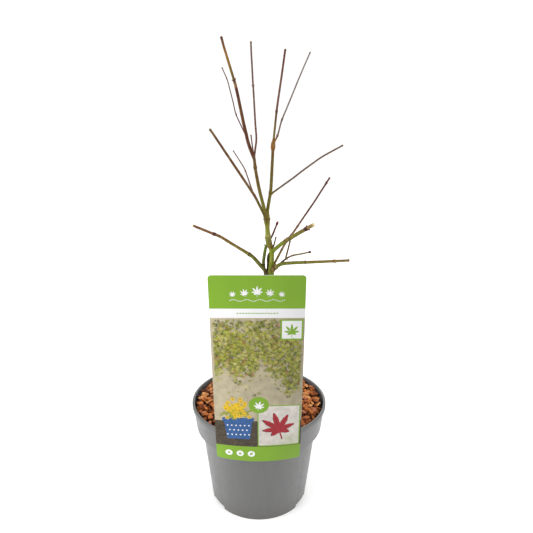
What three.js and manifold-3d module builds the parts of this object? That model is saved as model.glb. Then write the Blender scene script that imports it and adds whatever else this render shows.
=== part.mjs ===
// A young Japanese maple in a grey nursery pot, bare in winter, with its plant label.
// Millimetres, +Z up. The origin is the middle of the pot's underside, and the label
// stands at the front, on -Y.
import * as THREE from 'three';
import { mergeVertices } from 'three/addons/utils/BufferGeometryUtils.js';
import Module from 'manifold-3d';

const wasm = await Module();
wasm.setup();

// Driving sizes
const GAP = 0.3; // left between pieces that touch
const SLACK = 0.1; // added to it where a faceted round meets another

// The pot: a 190 mm rim over a deep stiff band, and a tapered body under it.
const POT_HEIGHT = 152;
const RIM_RADIUS = 95;
const RIM_DEPTH = 6; // the rim's plain collar, proud of the band
const RIM_EDGE = 0.8; // its bevelled top edge
const BAND_TOP_RADIUS = 93.3;
const BAND_FOOT_RADIUS = 89.5;
const BAND_FOOT = 114.7; // height of the ledge under the band
const BODY_TOP_RADIUS = 82;
const FOOT_RADIUS = 69.2;
const WALL = 1.6;
const FOOT_RING = 5.2; // width of the ring it stands on
const HUB_RADIUS = 46; // the flat middle of the underside, level with the ring
const CHANNEL = 3.2; // height of the drain channel between the two
const NOTCH_BEARINGS = [-148, -28, 32, 152]; // drain notches at the foot, 0 is +X
const NOTCH_WIDTH = 30;
const NOTCH_HEIGHT = 5.2;
const NOTCH_REACH = 18; // how deep a notch's cutter is, in to the channel
const NOTCH_INSET = 4; // from the foot's edge in to the cutter's middle
const POT_SEGMENTS = 60;
const SOIL_SEGMENTS = 36;

// What fills the pot.
const SOIL_TOP = 136;
const MULCH_BED = 143.6; // top of the packed chips
const MULCH_ROOM = 2; // chips stay this far under the rim
const CHIP_COUNT = 76;
const CHIP_LENGTH = [9, 20];
const CHIP_WIDTH = [5, 9];
const CHIP_DEPTH = [2.2, 3.4];
const CHIP_RISE = [0.2, 2.6]; // of a chip's middle over the bed
const CHIP_TILT = 17; // degrees
const CHIP_SPREAD = 83.3; // radius that the chips' middles stay in
const GOLDEN_ANGLE = 137.508; // degrees from one chip to the next

// The label: a stiff sheet that leans out over the rim, with a tongue behind it that
// reaches down between the pot's wall and the chips.
const LABEL_WIDTH = 108.5;
const LABEL_FOOT = 113;
const LABEL_TOP = 380.5;
const LABEL_SHEET = 0.8;
const LABEL_LEAN = 7.9; // degrees, outward
const LABEL_TILT = 0.3; // degrees, to the left
const LABEL_OFF = 0.8; // how far its foot stands left of the middle
const LABEL_CORNER = 4;
const LABEL_CURL = 10; // how far the foot's sides bend back round the pot
const LABEL_CURL_FADE = 60; // height over which the bend dies out
const LABEL_COLUMNS = 8;
const TONGUE_WIDTH = 36;
const TONGUE_TOP = 186;
const TONGUE_LEAVES = 172; // where it parts from the sheet
const TONGUE_FOOT = 136.5;
const TONGUE_SUNK = 0.45; // how far it is sunk in the sheet's back
const TONGUE_COLUMNS = 5;

// The growth rule
// A shoot is a chain of legs, [length, bearing, rise]: bearing 0 is +X and 90 is the
// back, rise is degrees above level. It eases from one leg into the next, and turns a
// little at each node by its seed. It starts on its parent's axis, `at` mm along it.
// Its girth is its radius at its base and tip, or a list of [distance, radius].
const STEP = 2;
const EASE = 7;
const WANDER = 0.03;

const SHOOTS = {
  trunk: {
    legs: [[233, 14, 86], [16, 178, 71], [36, 160, 87]],
    girth: [
      [0, 8], [5, 6.3], [14, 5.2], [186, 4.3], [204, 4.2], [218, 3], [237, 2.9],
      [246, 4], [253, 4], [260, 3], [266, 2.8], [273, 3.7], [279, 4.1], [285, 3],
    ],
    internode: 60, end: 'fork',
  },
  leftLeader: {
    from: 'trunk', at: 279, internode: 30, end: 'fork',
    legs: [[40, -146, 74.5], [24, -144, 78], [17, -141, 84]], girth: [[0, 2.9], [10, 2.2], [81, 1.75]],
  },
  tallLeft: {
    from: 'leftLeader', at: 80, internode: 47,
    legs: [[19, 151, 65], [65, 142, 73], [68, 149, 72]],
    girth: [[0, 1.9], [88, 1.75], [100, 1.5], [152, 1.35]],
  },
  slenderLeft: {
    from: 'tallLeft', at: 26, internode: 18,
    legs: [[37, 129, 51], [46, 122, 65], [18, 135, 55]], girth: [0.75, 0.5],
  },
  frontLeft: {
    from: 'tallLeft', at: 1, internode: 44,
    legs: [[25, -69, 67], [65, -104, 72], [47, -97, 79]], girth: [1.1, 0.88],
  },
  frontStub: {
    from: 'tallLeft', at: 1, internode: 30,
    legs: [[34, -103, 61]], girth: [0.8, 0.6],
  },
  rightLeader: {
    from: 'trunk', at: 279, internode: 40, end: 'fork',
    legs: [[12, 37, 82], [25, 37, 76.5], [59, 58, 82.5]],
    girth: [[0, 2.6], [10, 1.9], [86, 1.75], [91, 2.8], [96, 2.3]],
  },
  tallRight: {
    from: 'rightLeader', at: 96, internode: 40,
    legs: [[53, 50, 80], [62, 46, 79.5]], girth: [1.3, 1.15],
  },
  slenderRight: {
    from: 'rightLeader', at: 96, internode: 17,
    legs: [[9, -38, 50], [21, -48, 69], [96, -52, 57.5]], girth: [0.85, 0.6],
  },
  archRight: {
    from: 'rightLeader', at: 31, internode: 40,
    legs: [[51, 21, 33], [35, 14, 32], [31, 15, 26]], girth: [1.02, 0.85],
  },
  midLeft: {
    from: 'trunk', at: 268, internode: 50,
    legs: [[14, -118, 66], [36, -133, 55], [55, -143, 52], [51, -139, 51]], girth: [1.7, 1.2],
  },
  midLeftTwig: {
    from: 'midLeft', at: 55, internode: 30,
    legs: [[34, 122, 56], [30, 133, 42]], girth: [0.65, 0.5],
  },
  lowLeft: {
    from: 'trunk', at: 198, internode: 37,
    legs: [[10, 172, 50], [28, 148, 39], [60, 143, 19], [43, 159, 15]],
    girth: [[0, 2.2], [60, 1.95], [100, 1.8], [110, 1.5], [141, 1.42]],
  },
  cutRight: {
    from: 'trunk', at: 233, internode: 30, end: 'cut',
    legs: [[26, -42, 40], [56, -42, 33]], girth: [2.35, 2.1],
  },
  longRight: {
    from: 'trunk', at: 208, internode: 37,
    legs: [[41, 40, 52], [24, 32, 44], [87, 32, 49]],
    girth: [[0, 1.45], [60, 1.25], [72, 1.05], [152, 0.95]],
  },
  lowRight: {
    from: 'trunk', at: 207, internode: 40,
    legs: [[21, -43, 38], [97, -30, 11]], girth: [2, 1.25],
  },
  innerRight: {
    from: 'lowRight', at: 16, internode: 20,
    legs: [[11, 2, 45], [13, -35, 35], [34, -48, 19]], girth: [0.95, 0.65],
  },
  innerRightTwig: {
    from: 'innerRight', at: 13, internode: 14,
    legs: [[26, 54, 64]], girth: [0.65, 0.5],
  },
  backStem: {
    from: 'trunk', at: 186, internode: 25,
    legs: [[12, 122, 40], [20, 165, 78], [26, 10, 80], [14, -18, 57], [22, -28, 69]],
    girth: [[0, 1.9], [40, 2], [56, 1.9], [64, 1.3], [94, 0.8]],
  },
  backTwig: {
    from: 'backStem', at: 12, internode: 25,
    legs: [[12, 10, 80], [20, 140, 88], [11, 0, 50], [17, 0, 76]],
    girth: [[0, 1.6], [32, 1.5], [38, 0.9], [60, 0.6]],
  },
  backSpur: {
    from: 'backStem', at: 56, internode: 11,
    legs: [[5, 128, 27]], girth: [0.65, 0.5],
  },
};

// Which shoots are fused into one node, and on which limb each node is seated.
const LIMBS = {
  trunk: { shoots: ['trunk'], sides: 10 },
  left_leader: { shoots: ['leftLeader'], clearOf: ['trunk'] },
  right_leader: { shoots: ['rightLeader'], clearOf: ['trunk', 'leftLeader'] },
  left_crown_twigs: {
    shoots: ['tallLeft', 'slenderLeft', 'frontLeft', 'frontStub'], clearOf: ['leftLeader'], sides: 6,
  },
  right_crown_twigs: { shoots: ['tallRight', 'slenderRight'], clearOf: ['rightLeader'], sides: 6 },
  arching_right_bough: { shoots: ['archRight'], clearOf: ['rightLeader'], sides: 6 },
  mid_left_bough: { shoots: ['midLeft'], clearOf: ['trunk'] },
  mid_left_twig: { shoots: ['midLeftTwig'], clearOf: ['midLeft'], sides: 6 },
  low_left_bough: { shoots: ['lowLeft'], clearOf: ['trunk'] },
  cut_right_bough: { shoots: ['cutRight'], clearOf: ['trunk'] },
  long_right_bough: { shoots: ['longRight'], clearOf: ['trunk'], sides: 6 },
  low_right_bough: { shoots: ['lowRight'], clearOf: ['trunk'] },
  low_right_twigs: { shoots: ['innerRight', 'innerRightTwig'], clearOf: ['lowRight'], sides: 6 },
  back_twigs: { shoots: ['backStem', 'backTwig', 'backSpur'], clearOf: ['trunk'], sides: 7 },
};
const CUTTER_SIDES = 12; // of the limb that a node is cut clear of

const BARK = '#6b4a38';
const BARK_OF = {
  trunk: '#7c7c2c',
  left_leader: '#6d552a',
  right_leader: '#6d5525',
  low_left_bough: '#73621f',
  low_right_bough: '#7e7830',
  cut_right_bough: '#73712f',
};

// How a limb's rings lie.
const ROW_SPACING = 10;
const ROW_CLEAR = 2.5; // a plain ring keeps this far from a ring with a place of its own
const END_ROOM = 1.5; // no ring nearer than this to the tip, but the tip's own
const STOUT = 0.9; // radius from which a node swells
const NODE_SWELL = 1.2; // how much thicker a node is than the shoot
const NODE_HALF = 2; // half the length of that swelling
const COLLAR_SWELL = 1.3; // the same where a shoot leaves its parent
const COLLAR_LENGTH = 5;
const COLLAR_CLEAR = 1.2; // from the parent's bark to the collar's end
const BELOW_CUT = 3; // the trunk is grown from this far below the soil, and cut off level

// A pair of buds faces each other at every node, each pair square to the last.
const BUD_ROOM = 6; // no side buds nearer than this to the tip
const BUD_LENGTH = 3.2;
const BUD_LEAN = 35; // degrees off the shoot
const BUD_TWIST = 0.4; // radians that a pair may be out of square
const TIP_BUD = [[3, 1], [1.8, 1.35], [0, 0.35]]; // [from the tip, times the radius]
const TIP_DOME = [[0, 1], [0.6, 0.8], [0.95, 0.3]]; // [past the end, and the radius], times the radius

const radians = THREE.MathUtils.degToRad;

// A repeatable value from -1 to 1.
function wobble(seed, k) {
  const x = Math.sin(seed * 12.9898 + k * 78.233) * 43758.5453;
  return (x - Math.floor(x)) * 2 - 1;
}

function between([low, high], seed, k) {
  return low + (high - low) * (wobble(seed, k) + 1) / 2;
}

function heading([, bearing, rise]) {
  const b = radians(bearing);
  const r = radians(rise);
  return new THREE.Vector3(Math.cos(r) * Math.cos(b), Math.cos(r) * Math.sin(b), Math.sin(r));
}

// The centre line of a shoot: points STEP or so apart, from `start`.
function growSpine(start, { legs, internode }, seed) {
  const headings = legs.map(heading);
  const ends = [];
  for (const [length] of legs) ends.push((ends.at(-1) ?? 0) + length);
  const length = ends.at(-1);
  const count = Math.max(4, Math.round(length / STEP));
  const step = length / count;
  const points = [start.clone()];
  for (let k = 0; k < count; k++) {
    const s = (k + 0.5) * step;
    const leg = Math.min(ends.findIndex((e) => e >= s), legs.length - 1);
    const way = headings[leg].clone();
    const ahead = ends[leg] - s;
    const behind = s - (ends[leg - 1] ?? -Infinity);
    if (leg + 1 < legs.length && ahead < EASE) way.lerp(headings[leg + 1], 0.5 * (1 - ahead / EASE));
    if (leg > 0 && behind < EASE) way.lerp(headings[leg - 1], 0.5 * (1 - behind / EASE));
    const n = 3 * Math.floor(s / internode);
    const drift = new THREE.Vector3(wobble(seed, n), wobble(seed, n + 1), wobble(seed, n + 2));
    way.addScaledVector(drift, WANDER).normalize();
    points.push(points.at(-1).clone().addScaledVector(way, step));
  }
  return { points, step, length };
}

// The point and the direction of a centre line `s` mm along it; past its end it runs on.
function along({ points, step }, s) {
  const i = THREE.MathUtils.clamp(Math.floor(s / step), 0, points.length - 2);
  const way = points[i + 1].clone().sub(points[i]).normalize();
  return { point: points[i].clone().addScaledVector(way, s - i * step), way };
}

// Solids
function solid(geometry) {
  const bare = geometry.clone();
  bare.deleteAttribute('normal');
  bare.deleteAttribute('uv');
  const merged = mergeVertices(bare);
  return new wasm.Manifold(new wasm.Mesh({
    numProp: 3,
    vertProperties: new Float32Array(merged.attributes.position.array),
    triVerts: new Uint32Array(merged.index.array),
  }));
}

const union = (parts) => parts.reduce((whole, part) => whole.add(part));

// The biggest of the bodies that a cut leaves.
function largest(cut) {
  return cut.decompose().reduce((best, body) => (body.volume() > best.volume() ? body : best));
}

const group = new THREE.Group();

function place(name, body, color, roughness) {
  const { vertProperties, triVerts } = body.getMesh();
  const geometry = new THREE.BufferGeometry();
  geometry.setAttribute('position', new THREE.BufferAttribute(new Float32Array(vertProperties), 3));
  geometry.setIndex(new THREE.BufferAttribute(new Uint32Array(triVerts), 1));
  geometry.computeVertexNormals();
  const material = new THREE.MeshStandardMaterial({ color, roughness, metalness: 0 });
  const mesh = new THREE.Mesh(geometry, material);
  mesh.name = name;
  group.add(mesh);
}

// A closed profile of [radius, height] pairs, turned round Z.
function turned(profile, segments = POT_SEGMENTS) {
  const lathe = new THREE.LatheGeometry(profile.map(([r, z]) => new THREE.Vector2(r, z)), segments);
  lathe.rotateX(Math.PI / 2);
  return solid(lathe);
}

function box(size, position, turn = [0, 0, 0]) {
  const geometry = new THREE.BoxGeometry(...size);
  geometry.applyMatrix4(new THREE.Matrix4().makeRotationFromEuler(new THREE.Euler(...turn)));
  geometry.translate(...position);
  return solid(geometry);
}

// A flat box of columns and rows, bent: `at` gives each point's place. The rows run
// upwards, so that its faces point out.
function bentSheet(columns, rowCount, at) {
  const geometry = new THREE.BoxGeometry(1, 1, 1, columns, 1, rowCount);
  const position = geometry.attributes.position;
  for (let v = 0; v < position.count; v++) {
    const row = Math.round((position.getZ(v) + 0.5) * rowCount);
    position.setXYZ(v, ...at(position.getX(v), position.getY(v) > 0, row));
  }
  return solid(geometry);
}

// The limbs
function knotsOf({ girth }, length) {
  return Array.isArray(girth[0]) ? girth : [[0, girth[0]], [length, girth[1]]];
}

function girthAt(shoot, s, length) {
  const knots = knotsOf(shoot, length);
  const next = knots.findIndex(([at]) => at > s);
  if (next === 0) return knots[0][1];
  if (next < 0) return knots.at(-1)[1];
  const [[s0, r0], [s1, r1]] = knots.slice(next - 1, next + 1);
  return r0 + (r1 - r0) * (s - s0) / (s1 - s0);
}

function nodesOf({ internode }, length) {
  const nodes = [];
  for (let s = internode; s < length - BUD_ROOM; s += internode) nodes.push(s);
  return nodes;
}

// Where a limb has a ring: at its base, the knots of its girth, its nodes and its
// collar, and evenly between them.
function ringsOf(shoot, length, nodes, collarAt) {
  const own = knotsOf(shoot, length).map(([s]) => s);
  for (const s of nodes) own.push(s - NODE_HALF, s, s + NODE_HALF);
  if (collarAt) own.push(collarAt, collarAt + COLLAR_LENGTH);
  const rings = new Set(own);
  const count = Math.round(length / ROW_SPACING);
  for (let k = 1; k < count; k++) {
    const s = k * length / count;
    if (own.every((other) => Math.abs(other - s) > ROW_CLEAR)) rings.add(s);
  }
  return [...rings].filter((s) => s < length - END_ROOM).sort((a, b) => a - b);
}

// The rows of a limb: [distance along it, radius].
function rowsOf(shoot, { length }, collarAt) {
  const nodes = nodesOf(shoot, length).filter((s) => girthAt(shoot, s, length) > STOUT);
  const rows = ringsOf(shoot, length, nodes, collarAt).map((s) => {
    let swell = nodes.includes(s) ? NODE_SWELL : 1;
    if (collarAt && s <= collarAt) swell = COLLAR_SWELL;
    return [s, girthAt(shoot, s, length) * swell];
  });
  const r = girthAt(shoot, length, length);
  if (shoot.end === 'fork') {
    TIP_DOME.forEach(([past, part]) => rows.push([length + r * past, r * part]));
  } else if (shoot.end === 'cut') {
    rows.push([length, r]);
  } else {
    const [[budStart]] = TIP_BUD;
    if (rows.at(-1)[0] > length - budStart - 1) rows.pop();
    TIP_BUD.forEach(([back, part]) => rows.push([length - back, r * part]));
  }
  return rows;
}

// A closed tube whose rings follow the centre line; `proud` thickens it all over.
function tube(spine, rows, sides, proud = 0) {
  const geometry = new THREE.CylinderGeometry(1, 1, 1, sides, rows.length - 1);
  const frames = [];
  let across = new THREE.Vector3(1, 0, 0);
  rows.forEach(([s, r], k) => {
    let reach = s;
    if (k === 0) reach -= proud;
    if (k === rows.length - 1) reach += proud;
    const { point, way } = along(spine, reach);
    across = across.clone().projectOnPlane(way).normalize();
    frames.push({ point, across, up: across.clone().cross(way), r: r + proud });
  });
  const position = geometry.attributes.position;
  for (let v = 0; v < position.count; v++) {
    const row = frames[Math.round((position.getY(v) + 0.5) * (rows.length - 1))];
    const p = row.point.clone();
    p.addScaledVector(row.across, position.getX(v) * row.r);
    p.addScaledVector(row.up, position.getZ(v) * row.r);
    position.setXYZ(v, p.x, p.y, p.z);
  }
  return solid(geometry);
}

// One bud: a slim four-sided cone from the shoot's axis, leaning `BUD_LEAN` off it.
function bud(point, way, side, r, length) {
  const cone = new THREE.ConeGeometry(0.45 + 0.3 * r, length, 4);
  cone.translate(0, length / 2, 0);
  const out = way.clone().multiplyScalar(Math.cos(radians(BUD_LEAN)));
  out.addScaledVector(side, Math.sin(radians(BUD_LEAN)));
  cone.applyQuaternion(new THREE.Quaternion().setFromUnitVectors(new THREE.Vector3(0, 1, 0), out));
  cone.translate(point.x, point.y, point.z);
  return solid(cone);
}

function buds(shoot, spine, seed) {
  return nodesOf(shoot, spine.length).flatMap((s, k) => {
    const { point, way } = along(spine, s);
    const r = girthAt(shoot, s, spine.length);
    const side = new THREE.Vector3(0, 0, 1).projectOnPlane(way).normalize();
    side.applyAxisAngle(way, k * Math.PI / 2 + wobble(seed, 50 + k) * BUD_TWIST);
    return [1, -1].map((sign) => {
      const length = BUD_LENGTH * (1 + 0.2 * wobble(seed, 90 + 2 * k + sign)) + r;
      return bud(point, way, side.clone().multiplyScalar(sign), r, length);
    });
  });
}

const spines = {};
const seeds = {};
Object.entries(SHOOTS).forEach(([name, shoot], i) => {
  const parent = spines[shoot.from];
  let start = new THREE.Vector3(0, 0, SOIL_TOP + GAP);
  if (parent) start = along(parent, Math.min(shoot.at, parent.length)).point;
  seeds[name] = i + 1;
  spines[name] = growSpine(start, shoot, seeds[name]);
});

// Where a shoot comes out of its parent, measured along the shoot.
function collarOf({ from, at }) {
  return from ? girthAt(SHOOTS[from], at, spines[from].length) + COLLAR_CLEAR : 0;
}

function limb(name, sides, proud = 0) {
  const shoot = SHOOTS[name];
  const rows = rowsOf(shoot, spines[name], collarOf(shoot));
  if (!shoot.from) rows.unshift([-BELOW_CUT, rows[0][1]]);
  return tube(spines[name], rows, sides, proud);
}

function limbNode({ shoots, clearOf = [], sides = 8 }) {
  const parts = shoots.map((name) => limb(name, sides));
  for (const name of shoots) {
    if (SHOOTS[name].from) parts.push(...buds(SHOOTS[name], spines[name], seeds[name]));
  }
  const ground = box([60, 60, 20], [0, 0, SOIL_TOP + GAP - 10]);
  const cuts = [ground, ...clearOf.map((name) => limb(name, CUTTER_SIDES, GAP))];
  return largest(cuts.reduce((body, cut) => body.subtract(cut), union(parts)));
}

// The pot
const lineAt = (z, [r0, z0], [r1, z1]) => r0 + (r1 - r0) * (z - z0) / (z1 - z0);
const rimFoot = POT_HEIGHT - RIM_DEPTH;
const floorTop = CHANNEL + WALL;
const ledgeTop = BAND_FOOT + WALL;
const bandOuter = (z) => lineAt(z, [BAND_FOOT_RADIUS, BAND_FOOT], [BAND_TOP_RADIUS, rimFoot]);
const bodyOuter = (z) => lineAt(z, [FOOT_RADIUS, 0], [BODY_TOP_RADIUS, BAND_FOOT]);
const wallInner = (z) => (z > ledgeTop ? bandOuter(Math.min(z, rimFoot)) : bodyOuter(z)) - WALL;

const potShell = turned([
  [0, 0], [HUB_RADIUS, 0], [HUB_RADIUS, CHANNEL], [FOOT_RADIUS - FOOT_RING, CHANNEL],
  [FOOT_RADIUS - FOOT_RING, 0], [FOOT_RADIUS, 0],
  [BODY_TOP_RADIUS, BAND_FOOT], [BAND_FOOT_RADIUS, BAND_FOOT],
  [BAND_TOP_RADIUS, rimFoot], [RIM_RADIUS, rimFoot],
  [RIM_RADIUS, POT_HEIGHT - RIM_EDGE], [RIM_RADIUS - RIM_EDGE, POT_HEIGHT],
  [wallInner(POT_HEIGHT), POT_HEIGHT], [wallInner(POT_HEIGHT), rimFoot],
  [bandOuter(ledgeTop) - WALL, ledgeTop], [BODY_TOP_RADIUS - WALL, ledgeTop],
  [wallInner(floorTop), floorTop], [HUB_RADIUS - WALL, floorTop], [HUB_RADIUS - WALL, WALL], [0, WALL],
]);
const notches = NOTCH_BEARINGS.map((bearing) => {
  const turn = radians(bearing);
  const middle = FOOT_RADIUS - NOTCH_INSET;
  const below = 2;
  return box(
    [NOTCH_REACH, NOTCH_WIDTH, NOTCH_HEIGHT + below],
    [middle * Math.cos(turn), middle * Math.sin(turn), (NOTCH_HEIGHT - below) / 2],
    [0, 0, turn],
  );
});
place('pot', notches.reduce((body, notch) => body.subtract(notch), potShell), '#7f8081', 0.55);

// The soil stops short of the wall and the floor all round.
const soil = turned([
  [0, WALL + GAP], [HUB_RADIUS - WALL - GAP, WALL + GAP], [HUB_RADIUS - WALL - GAP, floorTop + GAP],
  [wallInner(floorTop) - GAP, floorTop + GAP], [wallInner(ledgeTop) - GAP - SLACK, ledgeTop + GAP],
  [bandOuter(ledgeTop) - WALL - GAP - SLACK, ledgeTop + GAP],
  [wallInner(SOIL_TOP) - GAP - SLACK, SOIL_TOP], [0, SOIL_TOP],
], SOIL_SEGMENTS);
place('soil', soil, '#3a2a1e', 0.95);

// The bark mulch: a packed bed, with chips that stand out of it
const mulchFoot = SOIL_TOP + GAP;
const roomRadius = wallInner(POT_HEIGHT) - GAP - SLACK;
const room = turned([
  [0, mulchFoot], [wallInner(mulchFoot) - GAP - SLACK, mulchFoot],
  [roomRadius, rimFoot], [roomRadius, POT_HEIGHT - MULCH_ROOM], [0, POT_HEIGHT - MULCH_ROOM],
]);
const bedFoot = mulchFoot - 1;
const bed = turned([[0, bedFoot], [RIM_RADIUS, bedFoot], [RIM_RADIUS, MULCH_BED], [0, MULCH_BED]]);

function chip(i) {
  const turn = radians(GOLDEN_ANGLE * i);
  const reach = CHIP_SPREAD * Math.sqrt((i + 0.5) / CHIP_COUNT);
  const tilt = (k) => radians(CHIP_TILT) * wobble(i, k);
  return box(
    [between(CHIP_LENGTH, i, 1), between(CHIP_WIDTH, i, 2), between(CHIP_DEPTH, i, 3)],
    [reach * Math.cos(turn), reach * Math.sin(turn), MULCH_BED + between(CHIP_RISE, i, 4)],
    [tilt(5), tilt(6), Math.PI * wobble(i, 7)],
  );
}

const chips = Array.from({ length: CHIP_COUNT }, (_, i) => chip(i));
const slotDepth = 12;
const tongueSlot = box(
  [TONGUE_WIDTH + 3, slotDepth, 40],
  [0, -wallInner(POT_HEIGHT) + 5 - slotDepth / 2, POT_HEIGHT - 10],
);
const trunkHole = limb('trunk', CUTTER_SIDES, GAP + SLACK);
const mulch = union([bed, ...chips]).intersect(room).subtract(tongueSlot).subtract(trunkHole);
place('bark_mulch', largest(mulch), '#9a5a30', 0.9);

// The label
// The sheet's back passes just in front of the rim's lower edge, and leans out above it.
const lean = Math.tan(radians(LABEL_LEAN));

function sheetBend(x, z) {
  return LABEL_CURL * Math.exp(-(z - LABEL_FOOT) / LABEL_CURL_FADE) * (2 * x / LABEL_WIDTH) ** 2;
}

function sheetBack(x, z) {
  return -(RIM_RADIUS + GAP + SLACK) - (z - rimFoot) * lean + sheetBend(x, z);
}

// Heights of the sheet's rows: close together at the rounded corners and the curled
// foot, with none where the tongue is sunk in.
const cornerRows = [0, 0.3, 1.2, 2.6, LABEL_CORNER];
const labelRows = [
  ...[...cornerRows, 8, 16, 25, 35, 45, 55, 80, 100, 130, 170, 215].map((d) => LABEL_FOOT + d),
  ...cornerRows.toReversed().map((d) => LABEL_TOP - d),
];

function halfWidth(z) {
  const d = Math.max(0, LABEL_CORNER - Math.min(z - LABEL_FOOT, LABEL_TOP - z));
  return LABEL_WIDTH / 2 - LABEL_CORNER + Math.sqrt(LABEL_CORNER ** 2 - d ** 2);
}

// How far the label stands to the side: it is pushed in slightly askew.
function labelShift(z) {
  return -LABEL_OFF - (z - LABEL_FOOT) * Math.tan(radians(LABEL_TILT));
}

const sheet = bentSheet(LABEL_COLUMNS, labelRows.length - 1, (u, isBack, row) => {
  const z = labelRows[row];
  const x = 2 * u * halfWidth(z);
  return [x + labelShift(z), sheetBack(x, z) - (isBack ? 0 : LABEL_SHEET), z];
});

// The tongue's stations from its foot up, [y, z]: along the wall inside, whose curve it
// takes, then over the rim, and two in the sheet's back.
const insideRim = -wallInner(POT_HEIGHT);
const tonguePath = [
  [-wallInner(TONGUE_FOOT) + 0.6, TONGUE_FOOT],
  [insideRim + 1.3, POT_HEIGHT - 1],
  [insideRim + 0.9, POT_HEIGHT + 4],
  [sheetBack(0, TONGUE_LEAVES), TONGUE_LEAVES],
  [sheetBack(0, TONGUE_TOP), TONGUE_TOP],
];
const tongue = bentSheet(TONGUE_COLUMNS, tonguePath.length - 1, (u, isBack, row) => {
  const [y, z] = tonguePath[row];
  const across = u * TONGUE_WIDTH;
  const x = across + labelShift(z);
  const inSheet = z >= TONGUE_LEAVES;
  const bend = inSheet ? sheetBend(across, z) : x * x / (2 * wallInner(POT_HEIGHT));
  const front = inSheet ? TONGUE_SUNK : 0;
  return [x, y + bend + (isBack ? LABEL_SHEET : -front), z];
});
place('label', sheet.add(tongue), '#7fb23a', 0.4);

// The tree
for (const [name, node] of Object.entries(LIMBS)) {
  place(name, limbNode(node), BARK_OF[name] ?? BARK, 0.7);
}

export default group;
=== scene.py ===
# %% [markdown]
# # A young Japanese maple in its nursery pot
# The plant is bare in winter: olive and brown shoots over a bed of orange bark chips, in
# a grey moulded pot, with a tall printed label at the front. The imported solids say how
# big each thing is and where it stands. This lesson gives each of them its surface, and
# puts meshes with the real relief in the place of the plain ones.

# %% The frame
import math
import random

import bpy
import numpy as np
from mathutils import Matrix, Vector, noise


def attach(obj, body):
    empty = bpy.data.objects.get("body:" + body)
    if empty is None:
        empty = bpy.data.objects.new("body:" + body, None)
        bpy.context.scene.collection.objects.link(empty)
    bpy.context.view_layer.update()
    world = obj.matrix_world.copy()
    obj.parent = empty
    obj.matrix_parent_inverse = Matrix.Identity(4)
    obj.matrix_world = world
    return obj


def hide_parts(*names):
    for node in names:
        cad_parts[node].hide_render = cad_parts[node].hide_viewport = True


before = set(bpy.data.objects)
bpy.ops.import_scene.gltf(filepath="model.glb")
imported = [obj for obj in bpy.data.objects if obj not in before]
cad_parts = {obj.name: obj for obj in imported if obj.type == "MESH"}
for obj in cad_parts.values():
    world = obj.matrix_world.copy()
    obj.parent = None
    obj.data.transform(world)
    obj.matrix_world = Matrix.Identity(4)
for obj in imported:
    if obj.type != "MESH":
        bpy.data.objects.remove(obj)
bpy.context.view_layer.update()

# %% [markdown]
# ## Working in millimetres
# Blender counts in metres here, and everything on this plant is measured in millimetres.
# Sizes are written in millimetres and multiplied by MM where they reach Blender.
# An operator acts on everything that is selected, so each step starts by picking what it
# is about, or adds a new shape with nothing else selected.

# %% Picking, adding, changing and handing over a piece
MM = 0.001


def pick(*objects):
    """Selects these objects and nothing else. The first is the active one."""
    bpy.ops.object.select_all(action="DESELECT")
    for obj in objects:
        obj.select_set(True)
    bpy.context.view_layer.objects.active = objects[0]


def added(operator, **settings):
    """The object that an operator adds, with nothing else selected."""
    bpy.ops.object.select_all(action="DESELECT")
    operator(**settings)
    return bpy.context.object


def edit():
    """Edit mode on the active object, with its whole mesh selected."""
    bpy.ops.object.mode_set(mode="EDIT")
    bpy.ops.mesh.select_all(action="SELECT")


def modify(obj, kind, **settings):
    """Gives obj a modifier and applies it."""
    pick(obj)
    modifier = obj.modifiers.new(kind.title(), kind)
    for key, value in settings.items():
        setattr(modifier, key, value)
    bpy.ops.object.modifier_apply(modifier=modifier.name)


def smooth(obj, degrees):
    """Shades obj smooth, apart from edges that turn by more than this."""
    pick(obj)
    bpy.ops.object.shade_smooth_by_angle(angle=math.radians(degrees))


def wear(obj, *finishes):
    """Gives obj these finishes in place of what it has."""
    obj.data.materials.clear()
    for finish in finishes:
        obj.data.materials.append(finish.material)


def hand_over(obj, name, slot, *stands_for):
    """Puts a finished piece's place in its mesh, and lets it ride on the plant."""
    pick(obj)
    bpy.ops.object.transform_apply(location=True, rotation=True, scale=True)
    obj.name = name
    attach(obj, "root")
    if stands_for:
        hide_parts(*stands_for)
    print(name, "has", len(obj.data.polygons), "faces")


# %% [markdown]
# ## The camera
# The photograph was taken from the front and a little above, about 0.9 m from the label.
# The place, the tilt and the focal length were worked out from the ellipses of the pot's
# rim, ledge and foot. The pot stands a little left of the picture's middle, which is a
# small sideways shift of the lens and not a turn of the camera.

# %% The camera
IMAGE_WIDTH = 533
FOCAL_PIXELS = 556
SENSOR = 36
CAMERA_BACK = 704
CAMERA_HEIGHT = 573
CAMERA_PITCH = 17.59
POT_OFF_MIDDLE = 7.5  # pixels that the pot stands left of the middle

camera = added(
    bpy.ops.object.camera_add,
    location=(0, -CAMERA_BACK * MM, CAMERA_HEIGHT * MM),
    rotation=(math.radians(90 - CAMERA_PITCH), 0, 0),
)
camera.data.sensor_width = SENSOR
camera.data.lens = SENSOR * FOCAL_PIXELS / IMAGE_WIDTH
camera.data.shift_x = POT_OFF_MIDDLE / IMAGE_WIDTH
bpy.context.scene.camera = camera
print("Focal length", round(camera.data.lens, 2), "mm")

# %% [markdown]
# ## Finishes
# A finish is one Principled shader with a few procedural nodes in front of it. They read
# Object coordinates, and because every piece lies in the same frame, a blot of 2 mm is
# 2 mm on the pot and on a twig. Colours are written from 0 to 255, as a paint program
# shows them, and turned into light, which is what Blender mixes.


# %% A finish, and short ways of adding to it
def light(colour):
    """A colour from 0 to 255, as linear light."""
    levels = [level / 255 for level in colour]
    return (*[c / 12.92 if c <= 0.04045 else ((c + 0.055) / 1.055) ** 2.4 for c in levels], 1)


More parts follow.
